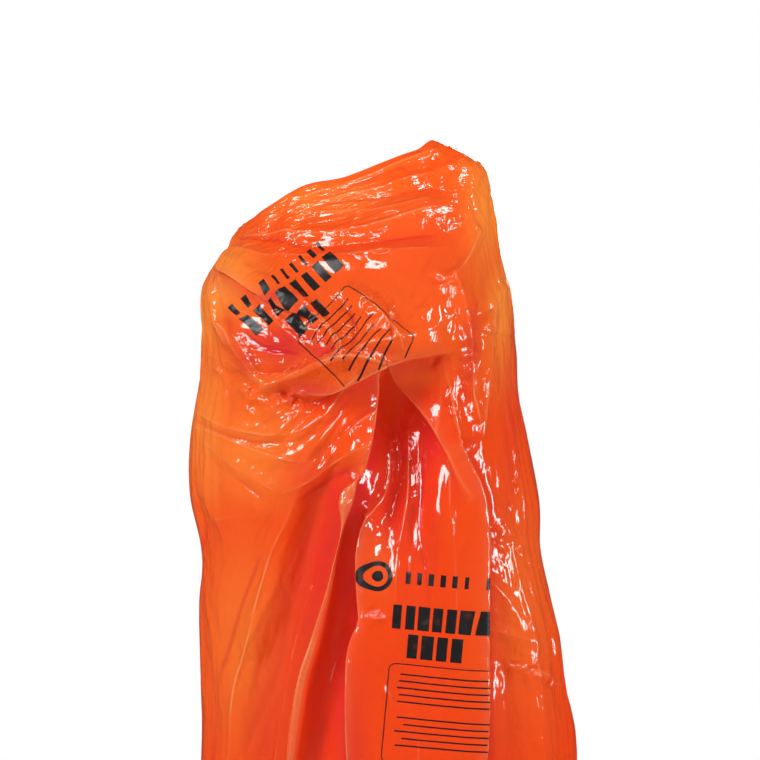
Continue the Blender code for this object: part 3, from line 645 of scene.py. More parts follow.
def foldedWeb(web, columns, seed):
    forms, ridges, laps, spots, plyAndShadeSpots, flows, paintedLightSpots = (
        (frontForms, frontRidges, frontLaps, frontCrinkles, frontPlyAndShade, frontFlows, frontPaintedLight)
        if web == "front"
        else (backForms, backRidges, backLaps, backCrinkles, backPlyAndShade, backFlows, backPaintedLight)
    )
    s, v, u, w, y = webDrawing(web, columns)
    wobbleU = u + folding["wander"] * cloudNoise(u, w, folding["wanderSize"], seed)
    wobbleW = w + folding["wander"] * cloudNoise(u, w, folding["wanderSize"], seed + 2)
    height, plyAndShade, pale = np.zeros_like(u), np.zeros_like(u), np.zeros_like(u)
    shiftU, shiftW = np.zeros_like(u), np.zeros_like(u)
    for high, over, under, line in forms.values():
        line = smoothLine(line)
        away, strength, *_ = alongLine(wobbleU, wobbleW, line)
        if isUpright(line):
            side = np.sign(wobbleU - np.interp(wobbleW, *sortedLine(line)))
        else:
            side = np.sign(wobbleW - np.interp(wobbleU, *sortedLine(line, False)))
        width = np.where(side < 0, over, under)
        height += high * strength * np.exp(-((away / width) ** 2))
    broken = 0.25 + 0.75 * smoothStep(-0.25, 0.35, cloudNoise(u, w, 26, seed + 21))
    lineAway, lineShare = np.full(u.shape, folding["farAway"]), np.zeros_like(u)
    lapAway, lapShare = np.full(u.shape, folding["farAway"]), np.zeros_like(u)
    for high, width, line in ridges.values():
        line = smoothLine(line)
        away, strength, _, _, side = alongLine(wobbleU, wobbleW, line)
        strength = strength * endFade(u, w, line, width)
        height += high * strength * tent(away, 2.2 * width, 0.5)
        strength = strength * broken
        own = (away < np.abs(lineAway)) & (strength > 0.05)
        lineAway = np.where(own, away * side, lineAway)
        lineShare = np.where(own, np.clip(high / 0.010, -1, 1) * strength * smoothStep(5, 3, away), lineShare)
    for step, turn, overlap, reach, upper, line in laps.values():
        line = smoothLine(line)
        away, strength, au, aw, _ = alongLine(wobbleU, wobbleW, line)
        strength = strength * endFade(u, w, line, 1.5 * turn)
        facing = np.where(au * upper[0] + aw * upper[1] >= 0, 1, -1)
        au, aw = au * facing, aw * facing
        signed = away * np.sign(np.where(sideOf(wobbleU, wobbleW, line, upper) >= 0, 1, -1))
        t = signed / turn
        level = np.tanh(t) * tent(np.maximum(away - turn, 0), 1.9 * reach, 2.5) / 2
        height += step * strength * level
        push = -overlap * strength * t * np.exp(0.5 - t * t / 2)
        shiftU += push * au
        shiftW += push * aw
        # Painted shade: a redder, darker band beneath the upper layer of each lap, where the film also lies
        # double.
        plyAndShade += 0.55 * strength * np.exp(-(((signed + 1.1 * turn) / (1.8 * turn)) ** 2))
        # Crease whitening with a painted highlight along the turned edge of the upper layer.
        pale += 0.5 * strength * np.exp(-(((signed - 0.9 * turn) / (0.7 * turn)) ** 2))
        crest = signed - 0.9 * turn
        own = (np.abs(crest) < np.abs(lapAway)) & (strength > 0.05)
        lapAway = np.where(own, crest, lapAway)
        lapShare = np.where(own, strength * broken * smoothStep(5, 3, np.abs(crest)), lapShare)
    # Painted shade: sunken film is painted redder and darker.
    plyAndShade += 0.45 * smoothStep(0, -0.045, height)
    # Painted light: the listed spots, and film that stands out, are painted more yellow.
    paintedLight = spotMask(wobbleU, wobbleW, paintedLightSpots, 0) + 0.18 * smoothStep(0, 0.03, height)
    sideFade = smoothStep(0, folding["sideFade"], np.minimum(s, 1 - s))
    floorFade = smoothStep(0, folding["floorFade"], v)
    arc = folding["webWidth"] * (s - 0.5)
    atSide = smoothStep(0.22, 0.08, np.minimum(s, 1 - s))
    crinkled = np.maximum(spotMask(u, w, spots, crinkle["plain"]), folding["sideCrinkle"] * atSide)
    if web == "back":
        crinkled = np.maximum(crinkled, folding["backCrinkle"])
    # Painted shade from the spot table, also where the film lies double.
    plyAndShade = np.maximum(plyAndShade, spotMask(wobbleU, wobbleW, plyAndShadeSpots, 0))
    mouthFade = 0.25 + 0.75 * smoothStep(1, 0.95, v)
    loose = (1 - spotMask(u, w, calmSpots, 0)) * mouthFade
    creases = crumpled(arc, w, seed + 100, *crinkle["small"]) * crinkled * loose
    creases += crumpled(arc, w, seed + 500, *crinkle["large"]) * (0.5 + 0.5 * crinkled) * loose
    creases += streaked(arc + 0.05 * w, w, 1, 7, 9, 34, 0.22, seed + 700) * atSide * smoothStep(190, 300, w)
    swell = folding["swell"] * cloudNoise(u, w, 90, seed + 7) * loose
    base = onSight(u, w, y)
    normal = gridNormals(base) * (1 if web == "front" else -1)
    normal[..., 0] *= folding["outShare"]
    normal[:, 0] = (-folding["outShare"], 0, 0)
    normal[:, -1] = (folding["outShare"], 0, 0)
    placed = onSight(u + shiftU * sideFade, w + shiftW * sideFade * floorFade, y)
    shine = np.zeros_like(u)
    if web == "front":
        seen = seenAt(placed + normal * ((height + swell) * sideFade * floorFade)[..., None])
        shine = spotMask(*seen, [(*spot, 1) for spot in shiningSpots], 0)
    crinkled = crinkled * (1 - 0.4 * shine)
    mouth = mouthFront if web == "front" else mouthBack
    edge = smoothThrough(*zip(*mouth), np.clip(u, mouth[0][0], mouth[-1][0]))
    flowAcross, flowAlong, flowShare, best = (np.zeros_like(u) for _ in range(4))
    for k, (way, sizes, where) in enumerate(flows.values()):
        ways = flowWays(wobbleU, wobbleW, edge, way)
        mask = spotMask(wobbleU, wobbleW, where, 0)
        creases += streaked(*ways, *sizes, seed + 900 + 40 * k) * mask
        flowShare = np.where(mask > best, mask * smoothStep(0, 0.2, mask - best) * ways[2],
                             flowShare * smoothStep(0, 0.2, best - mask))
        flowAcross = np.where(mask > best, ways[0] / 100 + 3 * k, flowAcross)
        flowAlong = np.where(mask > best, ways[1] / 500, flowAlong)
        best = np.maximum(best, mask)
    creases *= 1 - folding["shineCalm"] * shine
    flowShare *= 1 - folding["shineCalm"] * shine
    waves = np.sin(w / 8.0 + 3.0 * cloudNoise(arc, w, 60, seed + 9))
    slump = folding["slump"] * waves * smoothStep(915, 995, w)
    slump *= 0.6 + 0.6 * cloudNoise(arc, w, 80, seed + 10)
    total = (height + swell) * sideFade + creases * (0.35 + 0.65 * sideFade) + slump * sideFade
    moved = placed + normal * (total * floorFade)[..., None]
    lapped = 0.8 * smoothStep(0.5, 4, np.hypot(shiftU, shiftW))
    hold = 1 - sideFade * floorFade * smoothStep(1, 0.985, v) * (1 - lapped)
    moved = settled(web, moved, hold)
    if web == "front":
        moved = turnedToLamps(moved)
    return {"points": moved, "u": u, "w": w, "plyAndShade": np.clip(plyAndShade, 0, 1), "pale": np.clip(pale, 0, 1),
            "crinkled": crinkled, "paintedLight": np.clip(paintedLight, 0, 1),
            "flowAcross": flowAcross, "flowAlong": flowAlong, "flowShare": flowShare,
            "lineAway": lineAway, "lineShare": lineShare, "lapAway": lapAway, "lapShare": lapShare, "v": v}


def turnedToLamps(points):
    # Leans each shining spot so that it mirrors the lamp that asks for the least turn.
    places = [np.array(lamp[0]) - (0, depthShift, 0) for lamp in lamps.values() if lamp[4] and lamp[0][1] < 0]
    spots = [(*spot, 1) for spot in shiningSpots]
    smooth = points[..., 1]
    for _ in range(14):
        smooth = np.pad(smooth, 1, mode="edge")
        smooth = (smooth[:-2, 1:-1] + smooth[2:, 1:-1] + smooth[1:-1, :-2] + smooth[1:-1, 2:]) / 4
    share = 0.8 * spotMask(*seenAt(points), spots, 0)
    before = points
    points = points.copy()
    points[..., 1] += (smooth - points[..., 1]) * share
    for _ in range(3):
        u, w = seenAt(points)
        u, w = u + 2.4 * cloudNoise(u, w, 7, 61), w + 2.4 * cloudNoise(u, w, 7, 62)
        normals = gridNormals(points)
        height = np.zeros_like(u)
        for cu, cw, ru, rw in shiningSpots:
            du, dw = u - cu, w - cw
            away = (du / ru) ** 2 + (dw / rw) ** 2
            core = (away < 0.7) & (normals[..., 1] < -0.15)
            if not core.any():
                continue
            mean, here = normals[core].mean(axis=0), points[core].mean(axis=0)
            leans = []
            for place in places:
                half = sum((goal - here) / np.linalg.norm(goal - here) for goal in (eyePlace, place))
                leans.append((
                    mean[0] / abs(mean[1]) - half[0] / abs(half[1]),
                    half[2] / abs(half[1]) - mean[2] / abs(mean[1]),
                ))
            leanU, leanW = np.clip(min(leans, key=lambda lean: math.hypot(*lean)), -0.8, 0.8)
            height += (leanU * du + leanW * dw) / drawing["perMetre"] * np.exp(-(away**2))
        points = points - height[..., None] * np.array((0, 1, 0))
    turned = np.abs(points - before).max(axis=-1)
    moved = turned[turned > 0.0001]
    print("front film leaned by up to", round(float(turned.max()) * 1000, 1), "mm, half of it under",
          round(float(np.median(moved)) * 1000, 1), "mm")
    return points


settle = {
    "step": 2,  # of the fine grid's rows and columns, one in so many is simulated
    "frames": 26,
    "spareAcross": 1.035,
    "spareUp": 1.014,
    "hold": 0.02,  # how firmly the drawn shape holds the film away from laps and edges, 0 to 1
    "most": 0.010,
    "quality": 6,
    "mass": 0.02,
    "stretch": 20,
    "shear": 6,
    "bending": 0.06,
    "damping": 2,
    "gravity": 0.25,
}


def settled(web, points, hold):
    # Lets the film buckle a little: it is cut larger than the drawn shape that holds it.
    step = settle["step"]
    coarse = points[::step, ::step]
    made = gridObject("settling", coarse, {}, None, web == "back")
    made.shape_key_add(name="Basis")
    spare = made.shape_key_add(name="spare")
    wide = coarse * np.array((settle["spareAcross"], settle["spareAcross"], settle["spareUp"]))
    spare.data.foreach_set("co", wide.reshape(-1).astype(np.float32))
    spare.value = 0
    group = made.vertex_groups.new(name="held")
    weights = np.clip(hold[::step, ::step], settle["hold"], 1).ravel()
    for i, weight in enumerate(weights):
        group.add([i], float(weight), "REPLACE")
    cloth = made.modifiers.new("cloth", "CLOTH")
    settings = cloth.settings
    settings.quality = settle["quality"]
    settings.mass = settle["mass"]
    settings.tension_stiffness = settle["stretch"]
    settings.compression_stiffness = settle["stretch"]
    settings.shear_stiffness = settle["shear"]
    settings.bending_stiffness = settle["bending"]
    settings.air_damping = settle["damping"]
    settings.vertex_group_mass = "held"
    settings.pin_stiffness = 1
    settings.rest_shape_key = spare
    settings.effector_weights.gravity = settle["gravity"]
    cloth.collision_settings.use_collision = False
    cloth.collision_settings.use_self_collision = False
    cloth.point_cache.frame_start, cloth.point_cache.frame_end = 1, settle["frames"]
    scene = bpy.context.scene
    for frameNumber in range(1, settle["frames"] + 1):
        scene.frame_set(frameNumber)
    mesh = made.evaluated_get(bpy.context.evaluated_depsgraph_get()).data
    found = np.empty(len(mesh.vertices) * 3, np.float32)
    mesh.vertices.foreach_get("co", found)
    moved = found.reshape(coarse.shape) - coarse
    bpy.data.objects.remove(made)
    scene.frame_set(1)
    far = np.linalg.norm(moved, axis=-1, keepdims=True)
    moved = moved * np.minimum(1, settle["most"] / np.maximum(far, 1e-9))
    print(web, "film settled by up to", round(float(far.max()) * 1000, 1), "mm")
    for axis in (0, 1):  # back to the fine grid
        moved = np.swapaxes(moved, 0, axis)
        fine = np.repeat(moved, step, axis=0)[: (moved.shape[0] - 1) * step + 1]
        fine[1::step] = (moved[:-1] + moved[1:]) / 2
        moved = np.swapaxes(fine, 0, axis)
    return points + moved


def isUpright(line):
    return abs(line[-1][1] - line[0][1]) > abs(line[-1][0] - line[0][0])


def sortedLine(line, upright=True):
    key, value = (1, 0) if upright else (0, 1)
    points = sorted((p[key], p[value]) for p in line)
    return [p[0] for p in points], [p[1] for p in points]


def sideOf(u, w, line, upper):
    # Positive on the side of the line that the upper layer is on.
    best, side = np.full(u.shape, 1e9), np.zeros_like(u)
    for (u0, w0, _), (u1, w1, _) in zip(line, line[1:]):
        runU, runW = u1 - u0, w1 - w0
        share = np.clip(((u - u0) * runU + (w - w0) * runW) / (runU**2 + runW**2), 0, 1)
        du, dw = u - u0 - share * runU, w - w0 - share * runW
        away = np.hypot(du, dw)
        normal = (-runW, runU) if -runW * upper[0] + runU * upper[1] > 0 else (runW, -runU)
        side = np.where(away < best, (u - u0) * normal[0] + (w - w0) * normal[1], side)
        best = np.minimum(best, away)
    return side


def footRows(web, base, seed):
    # The closed end on the floor, from the foot of the wall in to the weld.
    count = bag["footRows"]
    sign = -1 if web == "front" else 1
    s = np.linspace(0, 1, base.shape[0])
    reach = bag["seamReach"]
    ears = np.interp(s, (0, 0.09, 0.91, 1), (-reach, -reach + 0.012, reach - 0.012, reach))
    rows = []
    for k in range(1, count + 1):
        t = k / count
        x = base[:, 0] + (ears - base[:, 0]) * t
        y = base[:, 1] * (1 - t) + sign * 0.006 * t
        arch = math.sin(math.pi * min(t * 1.02, 1))
        lift = 0.0015 + 0.0035 * np.abs(cloudNoise(x * 600, y * 600, 15, seed)) * arch
        rows.append(np.stack((x, y, np.full_like(x, 0.0) + lift), axis=-1))
    return rows


def gridObject(name, points, attributes, material, flip):
    rows, columns = points.shape[0], points.shape[1]
    index = np.arange(rows * columns).reshape(rows, columns)
    a, b, c, d = index[:-1, :-1], index[:-1, 1:], index[1:, 1:], index[1:, :-1]
    faces = np.stack((a, b, c, d) if not flip else (a, d, c, b), axis=-1).reshape(-1, 4)
    mesh = bpy.data.meshes.new(name)
    mesh.from_pydata(points.reshape(-1, 3).tolist(), [], faces.tolist())
    for key, values in attributes.items():
        layer = mesh.attributes.new(key, "FLOAT", "POINT")
        layer.data.foreach_set("value", values.astype(np.float32).ravel())
    mesh.materials.append(material)
    mesh.shade_smooth()
    mesh.update()
    made = bpy.data.objects.new(name, mesh)
    bpy.context.scene.collection.objects.link(made)
    return made


# Materials

def newMaterial(name):
    made = bpy.data.materials.new(name)
    made.use_nodes = True
    nodes, links = made.node_tree.nodes, made.node_tree.links
    return made, nodes, links, nodes["Principled BSDF"]


filmLook = {
    "colour": (0.85, 0.067, 0.008, 1),
    # redder and darker: painted shade, and film lying double
    "plyAndShadeColour": (0.60, 0.018, 0.032, 1),
    # paler: crease whitening with painted highlights on crests and lap edges
    "paleColour": (0.97, 0.42, 0.18, 1),
    # more yellow: painted light, where light would come through
    "paintedLightColour": (0.95, 0.31, 0.045, 1),
    "throughColour": (1.0, 0.27, 0.016, 1),
    "through": 0.24,
    "roughness": 0.09,
    "ior": 1.8,  # for both faces of the film
    "facets": ((24, 0.26, 0.35), (52, 0.22, -0.5), (110, 0.10, 0.9)),  # a metre, slope, turn
    "creases": ((13, 0.18), (31, 0.12)),  # of the flows: number in 100 of the drawing, slope
    "grain": 0.00008,
    "crest": 0.0015,
    # strength of the crease whitening and painted highlight from the attribute
    "pale": 0.35,
    "attributes": (
        "plyAndShade", "pale", "crinkled", "paintedLight", "flowAcross", "flowAlong", "flowShare", "lineAway", "lineShare",
        "lapAway", "lapShare",
    ),
}


def filmMaterial():
    made, nodes, links, shader = newMaterial("orangeFilm")

    def given(name):
        node = nodes.new("ShaderNodeAttribute")
        node.attribute_name = name
        return node.outputs["Fac"]

    def worked(operation, *values, clamp=False):
        node = nodes.new("ShaderNodeMath")
        node.operation, node.use_clamp = operation, clamp
        for socket, value in zip(node.inputs, values):
            if isinstance(value, (int, float)):
                socket.default_value = value
            else:
                links.new(value, socket)
        return node.outputs[0]

    def blended(share, first, second):
        node = nodes.new("ShaderNodeMix")
        node.data_type = "RGBA"
        for key, value in (("Factor", share), ("A", first), ("B", second)):
            socket = node.inputs[key]
            if isinstance(value, tuple):
                socket.default_value = value
            else:
                links.new(value, socket)
        return node.outputs["Result"]

    def peak(away, share, reach):
        # share where away is 0, and 0 from its reach on
        nearness = worked("MULTIPLY_ADD", worked("ABSOLUTE", away), -1 / reach, 1, clamp=True)
        return worked("MULTIPLY", nearness, share)

    coordinates = nodes.new("ShaderNodeTexCoord").outputs["Object"]
    lineAway, lineShare = given("lineAway"), given("lineShare")
    lapAway, lapShare = given("lapAway"), given("lapShare")

    # Colour: painted light makes it warmer where light would come through; painted shade, and film lying
    # double, make it redder in hollows, grooves and under laps; crease whitening with painted highlights
    # makes crests and lap edges pale
    cloud = nodes.new("ShaderNodeTexNoise")
    cloud.inputs["Scale"].default_value = 7
    cloud.inputs["Detail"].default_value = 4
    links.new(coordinates, cloud.inputs["Vector"])
    uneven = worked("MULTIPLY_ADD", cloud.outputs["Fac"], 0.26, -0.10)
    plyAndShadeShare = worked("ADD", uneven, given("plyAndShade"), clamp=True)
    # Painted shade along each drawn groove.
    grooveShade = worked("MULTIPLY", lineShare, -0.6, clamp=True)
    plyAndShadeShare = worked("ADD", plyAndShadeShare, peak(lineAway, grooveShade, 3), clamp=True)
    # Crease whitening with a painted highlight along each drawn crest and lap edge.
    whiteningAndHighlightShare = worked("MULTIPLY", given("pale"), filmLook["pale"])
    whiteningAndHighlightShare = worked("ADD", whiteningAndHighlightShare, peak(lineAway, worked("MULTIPLY", lineShare, 0.6, clamp=True), 1.4))
    whiteningAndHighlightShare = worked("ADD", whiteningAndHighlightShare, peak(lapAway, worked("MULTIPLY", lapShare, 0.5), 1.4), clamp=True)
    colour = blended(given("paintedLight"), filmLook["colour"], filmLook["paintedLightColour"])
    colour = blended(whiteningAndHighlightShare, blended(plyAndShadeShare, colour, filmLook["plyAndShadeColour"]), filmLook["paleColour"])
    links.new(colour, shader.inputs["Base Color"])

    # Relief: crinkles as flat facets between sharp creases, in three sizes
    warp = nodes.new("ShaderNodeTexNoise")
    warp.inputs["Scale"].default_value = 14
    warp.inputs["Detail"].default_value = 3
    links.new(coordinates, warp.inputs["Vector"])
    mixed = nodes.new("ShaderNodeMix")
    mixed.data_type = "VECTOR"
    mixed.inputs["Factor"].default_value = 0.10
    links.new(coordinates, mixed.inputs["A"])
    links.new(warp.outputs["Color"], mixed.inputs["B"])
    facets = 0
    for scale, slope, turn in filmLook["facets"]:
        stretch = nodes.new("ShaderNodeMapping")
        stretch.inputs["Rotation"].default_value = (0, turn, 0)
        stretch.inputs["Scale"].default_value = (1.3, 1.3, 0.38)
        creases = nodes.new("ShaderNodeTexVoronoi")
        creases.feature = "DISTANCE_TO_EDGE"
        creases.inputs["Scale"].default_value = scale
        links.new(mixed.outputs["Result"], stretch.inputs["Vector"])
        links.new(stretch.outputs["Vector"], creases.inputs["Vector"])
        facets = worked("MULTIPLY_ADD", creases.outputs["Distance"], slope / scale, facets)
    # long fine creases along the flows
    flow = nodes.new("ShaderNodeCombineXYZ")
    links.new(given("flowAcross"), flow.inputs["X"])
    links.new(given("flowAlong"), flow.inputs["Y"])
    flows = 0
    for scale, slope in filmLook["creases"]:
        creases = nodes.new("ShaderNodeTexVoronoi")
        creases.voronoi_dimensions = "2D"
        creases.feature = "DISTANCE_TO_EDGE"
        creases.inputs["Scale"].default_value = scale
        links.new(flow.outputs["Vector"], creases.inputs["Vector"])
        rise = slope * 100 / drawing["perMetre"] / scale
        flows = worked("MULTIPLY_ADD", creases.outputs["Distance"], rise, flows)
    # a sharp crest on each drawn fold, and an uneven surface
    grain = nodes.new("ShaderNodeTexNoise")
    grain.inputs["Scale"].default_value = 130
    grain.inputs["Detail"].default_value = 3
    links.new(coordinates, grain.inputs["Vector"])
    height = worked("MULTIPLY", facets, given("crinkled"))
    height = worked("MULTIPLY_ADD", flows, given("flowShare"), height)
    height = worked("MULTIPLY_ADD", peak(lineAway, lineShare, 3), filmLook["crest"], height)
    height = worked("MULTIPLY_ADD", peak(lapAway, lapShare, 3), filmLook["crest"], height)
    height = worked("MULTIPLY_ADD", grain.outputs["Fac"], filmLook["grain"], height)
    bump = nodes.new("ShaderNodeBump")
    bump.inputs["Distance"].default_value = 1
    links.new(height, bump.inputs["Height"])
    links.new(bump.outputs["Normal"], shader.inputs["Normal"])
    shader.inputs["Roughness"].default_value = filmLook["roughness"]
    shader.inputs["IOR"].default_value = filmLook["ior"]
    through = nodes.new("ShaderNodeBsdfTranslucent")
    through.inputs["Color"].default_value = filmLook["throughColour"]
    links.new(bump.outputs["Normal"], through.inputs["Normal"])
    mixer = nodes.new("ShaderNodeMixShader")
    mixer.inputs["Fac"].default_value = filmLook["through"]
    links.new(shader.outputs["BSDF"], mixer.inputs[1])
    links.new(through.outputs["BSDF"], mixer.inputs[2])
    links.new(mixer.outputs["Shader"], nodes["Material Output"].inputs["Surface"])
    return made


film = filmMaterial()
print("film material ready")

depthShift = (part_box("bottom_weld")[0].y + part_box("bottom_weld")[1].y) / 2
webs = {}
for web, columns, seed in (("front", bag["frontColumns"], 11), ("back", bag["backColumns"], 47)):
    made = foldedWeb(web, columns, seed)
    made["points"][..., 2] += bag["sheetLift"] * (1 - made["v"])
    webs[web] = made
for edge in (0, -1):
    same = (webs["front"]["points"][:, edge] + webs["back"]["points"][:, edge]) / 2
    webs["front"]["points"][:, edge] = same
    webs["back"]["points"][:, edge] = same
# Across the two side creases the colour runs on, its painted light and shade too.
for key in ("paintedLight", "plyAndShade", "crinkled"):
    front, back = webs["front"][key], webs["back"][key]
    share = np.linspace(0, 1, back.shape[1])
    for edge, away in ((0, share), (-1, 1 - share)):
        back += (front[:, edge] - back[:, edge])[:, None] * smoothStep(0.16, 0, away)
pieces = {}
for web, made in webs.items():
    points = made["points"]
    foot = footRows(web, points[0], 5)
    points = np.concatenate((np.array(foot[::-1]), points), axis=0) + np.array((0, depthShift, 0))
    padding = ((bag["footRows"], 0), (0, 0))
    attributes = {key: np.pad(made[key], padding, mode="edge") for key in filmLook["attributes"]}
    pieces[web] = gridObject(f"{web}_film", points, attributes, film, web == "back")
    print(web, "film", len(pieces[web].data.polygons), "faces")

# The print: generic marks, drawn flat in metres and then laid on the film

ink = {"colour": (0.012, 0.011, 0.011, 1), "roughness": 0.34, "lift": 0.0004, "grain": 0.0018}


def inkMaterial():
    made, nodes, links, shader = newMaterial("blackInk")
    coordinates = nodes.new("ShaderNodeTexCoord")
    worn = nodes.new("ShaderNodeTexNoise")
    worn.inputs["Scale"].default_value = 60
    worn.inputs["Detail"].default_value = 5
    links.new(coordinates.outputs["Object"], worn.inputs["Vector"])
    ramp = nodes.new("ShaderNodeMapRange")
    ramp.inputs["From Min"].default_value = 0.60
    ramp.inputs["From Max"].default_value = 0.78
    links.new(worn.outputs["Fac"], ramp.inputs["Value"])
    blend = nodes.new("ShaderNodeMix")
    blend.data_type = "RGBA"
    blend.inputs["A"].default_value = ink["colour"]
    blend.inputs["B"].default_value = (0.10, 0.02, 0.01, 1)
    links.new(ramp.outputs["Result"], blend.inputs["Factor"])
    links.new(blend.outputs["Result"], shader.inputs["Base Color"])
    shader.inputs["Roughness"].default_value = ink["roughness"]
    return made


def barTree():
    # A row or a column of bars, with widths that vary from Narrow to Wide.
    tree = bpy.data.node_groups.new("barRow", "GeometryNodeTree")
    tree.interface.new_socket("Geometry", in_out="OUTPUT", socket_type="NodeSocketGeometry")
    ids = {}
    for name, kind in (
        ("Count", "Int"), ("Pitch", "Vector"), ("Height", "Float"), ("Narrow", "Float"), ("Wide", "Float"),
        ("Across", "Int"), ("Down", "Int"), ("Seed", "Int"), ("Ink", "Material"),
    ):
        socket = tree.interface.new_socket(name, in_out="INPUT", socket_type="NodeSocket" + kind)
        ids[name] = socket.identifier
    nodes, links = tree.nodes, tree.links
    given, result = nodes.new("NodeGroupInput"), nodes.new("NodeGroupOutput")
    line = nodes.new("GeometryNodeMeshLine")
    bar = nodes.new("GeometryNodeMeshGrid")
    dice = nodes.new("FunctionNodeRandomValue")
    size = nodes.new("ShaderNodeCombineXYZ")
    onPoints = nodes.new("GeometryNodeInstanceOnPoints")
    real = nodes.new("GeometryNodeRealizeInstances")
    inked = nodes.new("GeometryNodeSetMaterial")
    links.new(given.outputs["Count"], line.inputs["Count"])
    links.new(given.outputs["Pitch"], line.inputs["Offset"])
    links.new(given.outputs["Across"], bar.inputs["Vertices X"])
    links.new(given.outputs["Down"], bar.inputs["Vertices Y"])
    bar.inputs["Size X"].default_value = 1
    bar.inputs["Size Y"].default_value = 1
    low = next(s for s in dice.inputs if s.name == "Min" and s.type == "VALUE")
    high = next(s for s in dice.inputs if s.name == "Max" and s.type == "VALUE")
    drawn = next(s for s in dice.outputs if s.type == "VALUE")
    links.new(given.outputs["Narrow"], low)
    links.new(given.outputs["Wide"], high)
    links.new(given.outputs["Seed"], dice.inputs["Seed"])
    links.new(drawn, size.inputs["X"])
    links.new(given.outputs["Height"], size.inputs["Y"])
    size.inputs["Z"].default_value = 1
    links.new(line.outputs["Mesh"], onPoints.inputs["Points"])
    links.new(bar.outputs["Mesh"], onPoints.inputs["Instance"])
    links.new(size.outputs["Vector"], onPoints.inputs["Scale"])
    links.new(onPoints.outputs["Instances"], real.inputs["Geometry"])
    links.new(real.outputs["Geometry"], inked.inputs["Geometry"])
    links.new(given.outputs["Ink"], inked.inputs["Material"])
    links.new(inked.outputs["Geometry"], result.inputs["Geometry"])
    return tree, ids


def barMarks(count, pitch, height, narrow, wide, seed, at):
    holder = bpy.data.objects.new("marks", bpy.data.meshes.new("marks"))
    bpy.context.scene.collection.objects.link(holder)
    modifier = holder.modifiers.new("bars", "NODES")
    modifier.node_group = barRow
    across = max(2, int(wide / ink["grain"]) + 1)
    down = max(2, int(height / ink["grain"]) + 1)
    for name, value in (
        ("Count", count), ("Pitch", (*pitch, 0)), ("Height", height), ("Narrow", narrow), ("Wide", wide),
        ("Across", across), ("Down", down), ("Seed", seed), ("Ink", black),
    ):
        modifier[barIds[name]] = value
    mesh = bpy.data.meshes.new_from_object(holder.evaluated_get(bpy.context.evaluated_depsgraph_get()))
    bpy.data.objects.remove(holder)
    points = [(v.co.x + at[0], v.co.y + at[1]) for v in mesh.vertices]
    return points, [tuple(f.vertices) for f in mesh.polygons]


def ringMarks(outer, inner, at):
    turns, rings = 72, max(2, int((outer - inner) / ink["grain"]) + 1)
    points, faces = [], []
    for j in range(rings + 1):
        radius = inner + (outer - inner) * j / rings
        for i in range(turns):
            angle = 2 * math.pi * i / turns
            points.append((at[0] + radius * math.cos(angle), at[1] + radius * math.sin(angle)))
    for j in range(rings):
        for i in range(turns):
            a, b = j * turns + i, j * turns + (i + 1) % turns
            faces.append((a, a + turns, b + turns, b))
    return points, faces


def frameMarks(width, height, corner, line, at):
    # The outline of a panel with rounded corners; at is its upper left corner.
    path = []
    for cx, cy, start in (
        (width - corner, -corner, 90), (width - corner, -height + corner, 0),
        (corner, -height + corner, -90), (corner, -corner, 180),
    ):
        for k in range(7):
            angle = math.radians(start - 15 * k)
            cos, sin = math.cos(angle), math.sin(angle)
            path.append((cx + corner * cos, cy + corner * sin, cos, sin))
    fine = []
    for a, b in zip(path, path[1:] + path[:1]):
        parts = max(1, int(math.hypot(b[0] - a[0], b[1] - a[1]) / ink["grain"]))
        fine += [tuple(p + (q - p) * k / parts for p, q in zip(a, b)) for k in range(parts)]
    points = []
    for x, y, ox, oy in fine:
        points.append((at[0] + x - ox * line, at[1] + y - oy * line))
        points.append((at[0] + x, at[1] + y))
    count = len(fine)
    faces = [(2 * i, 2 * i + 1, 2 * ((i + 1) % count) + 1, 2 * ((i + 1) % count)) for i in range(count)]
    return points, faces


def between(grid, i, j, fr, fc):
    # A grid's value inside the cell (i, j), at shares fr and fc of it.
    low = (1 - fc) * grid[i, j] + fc * grid[i, j + 1]
    high = (1 - fc) * grid[i + 1, j] + fc * grid[i + 1, j + 1]
    return (1 - fr) * low + fr * high


def filmFinder(made):
    # Finds the place just over the film for a point of the drawing.
    us, ws, points = made["u"], made["w"], made["points"] + np.array((0, depthShift, 0))
    normals = gridNormals(points)
    tree = KDTree(us.size)
    for i, (a, b) in enumerate(zip(us.ravel(), ws.ravel())):
        tree.insert((a, b, 0), i)
    tree.balance()
    rows, columns = us.shape

    def cell(r, c):
        i, j = min(max(int(r), 0), rows - 2), min(max(int(c), 0), columns - 2)
        return i, j, r - i, c - j

    def find(u, w):
        row, column = divmod(tree.find((u, w, 0))[1], columns)
        r, c = float(row), float(column)
        for _ in range(3):
            i, j, fr, fc = cell(r, c)
            here = [between(grid, i, j, fr, fc) for grid in (us, ws)]
            uc, wc = us[i, j + 1] - us[i, j], ws[i, j + 1] - ws[i, j]
            ur, wr = us[i + 1, j] - us[i, j], ws[i + 1, j] - ws[i, j]
            det = uc * wr - ur * wc
            du, dw = u - here[0], w - here[1]
            c += (du * wr - dw * ur) / det
            r += (dw * uc - du * wc) / det
        place, out = (between(grid, *cell(r, c)) for grid in (points, normals))
        return place + out / np.linalg.norm(out) * ink["lift"]

    return find


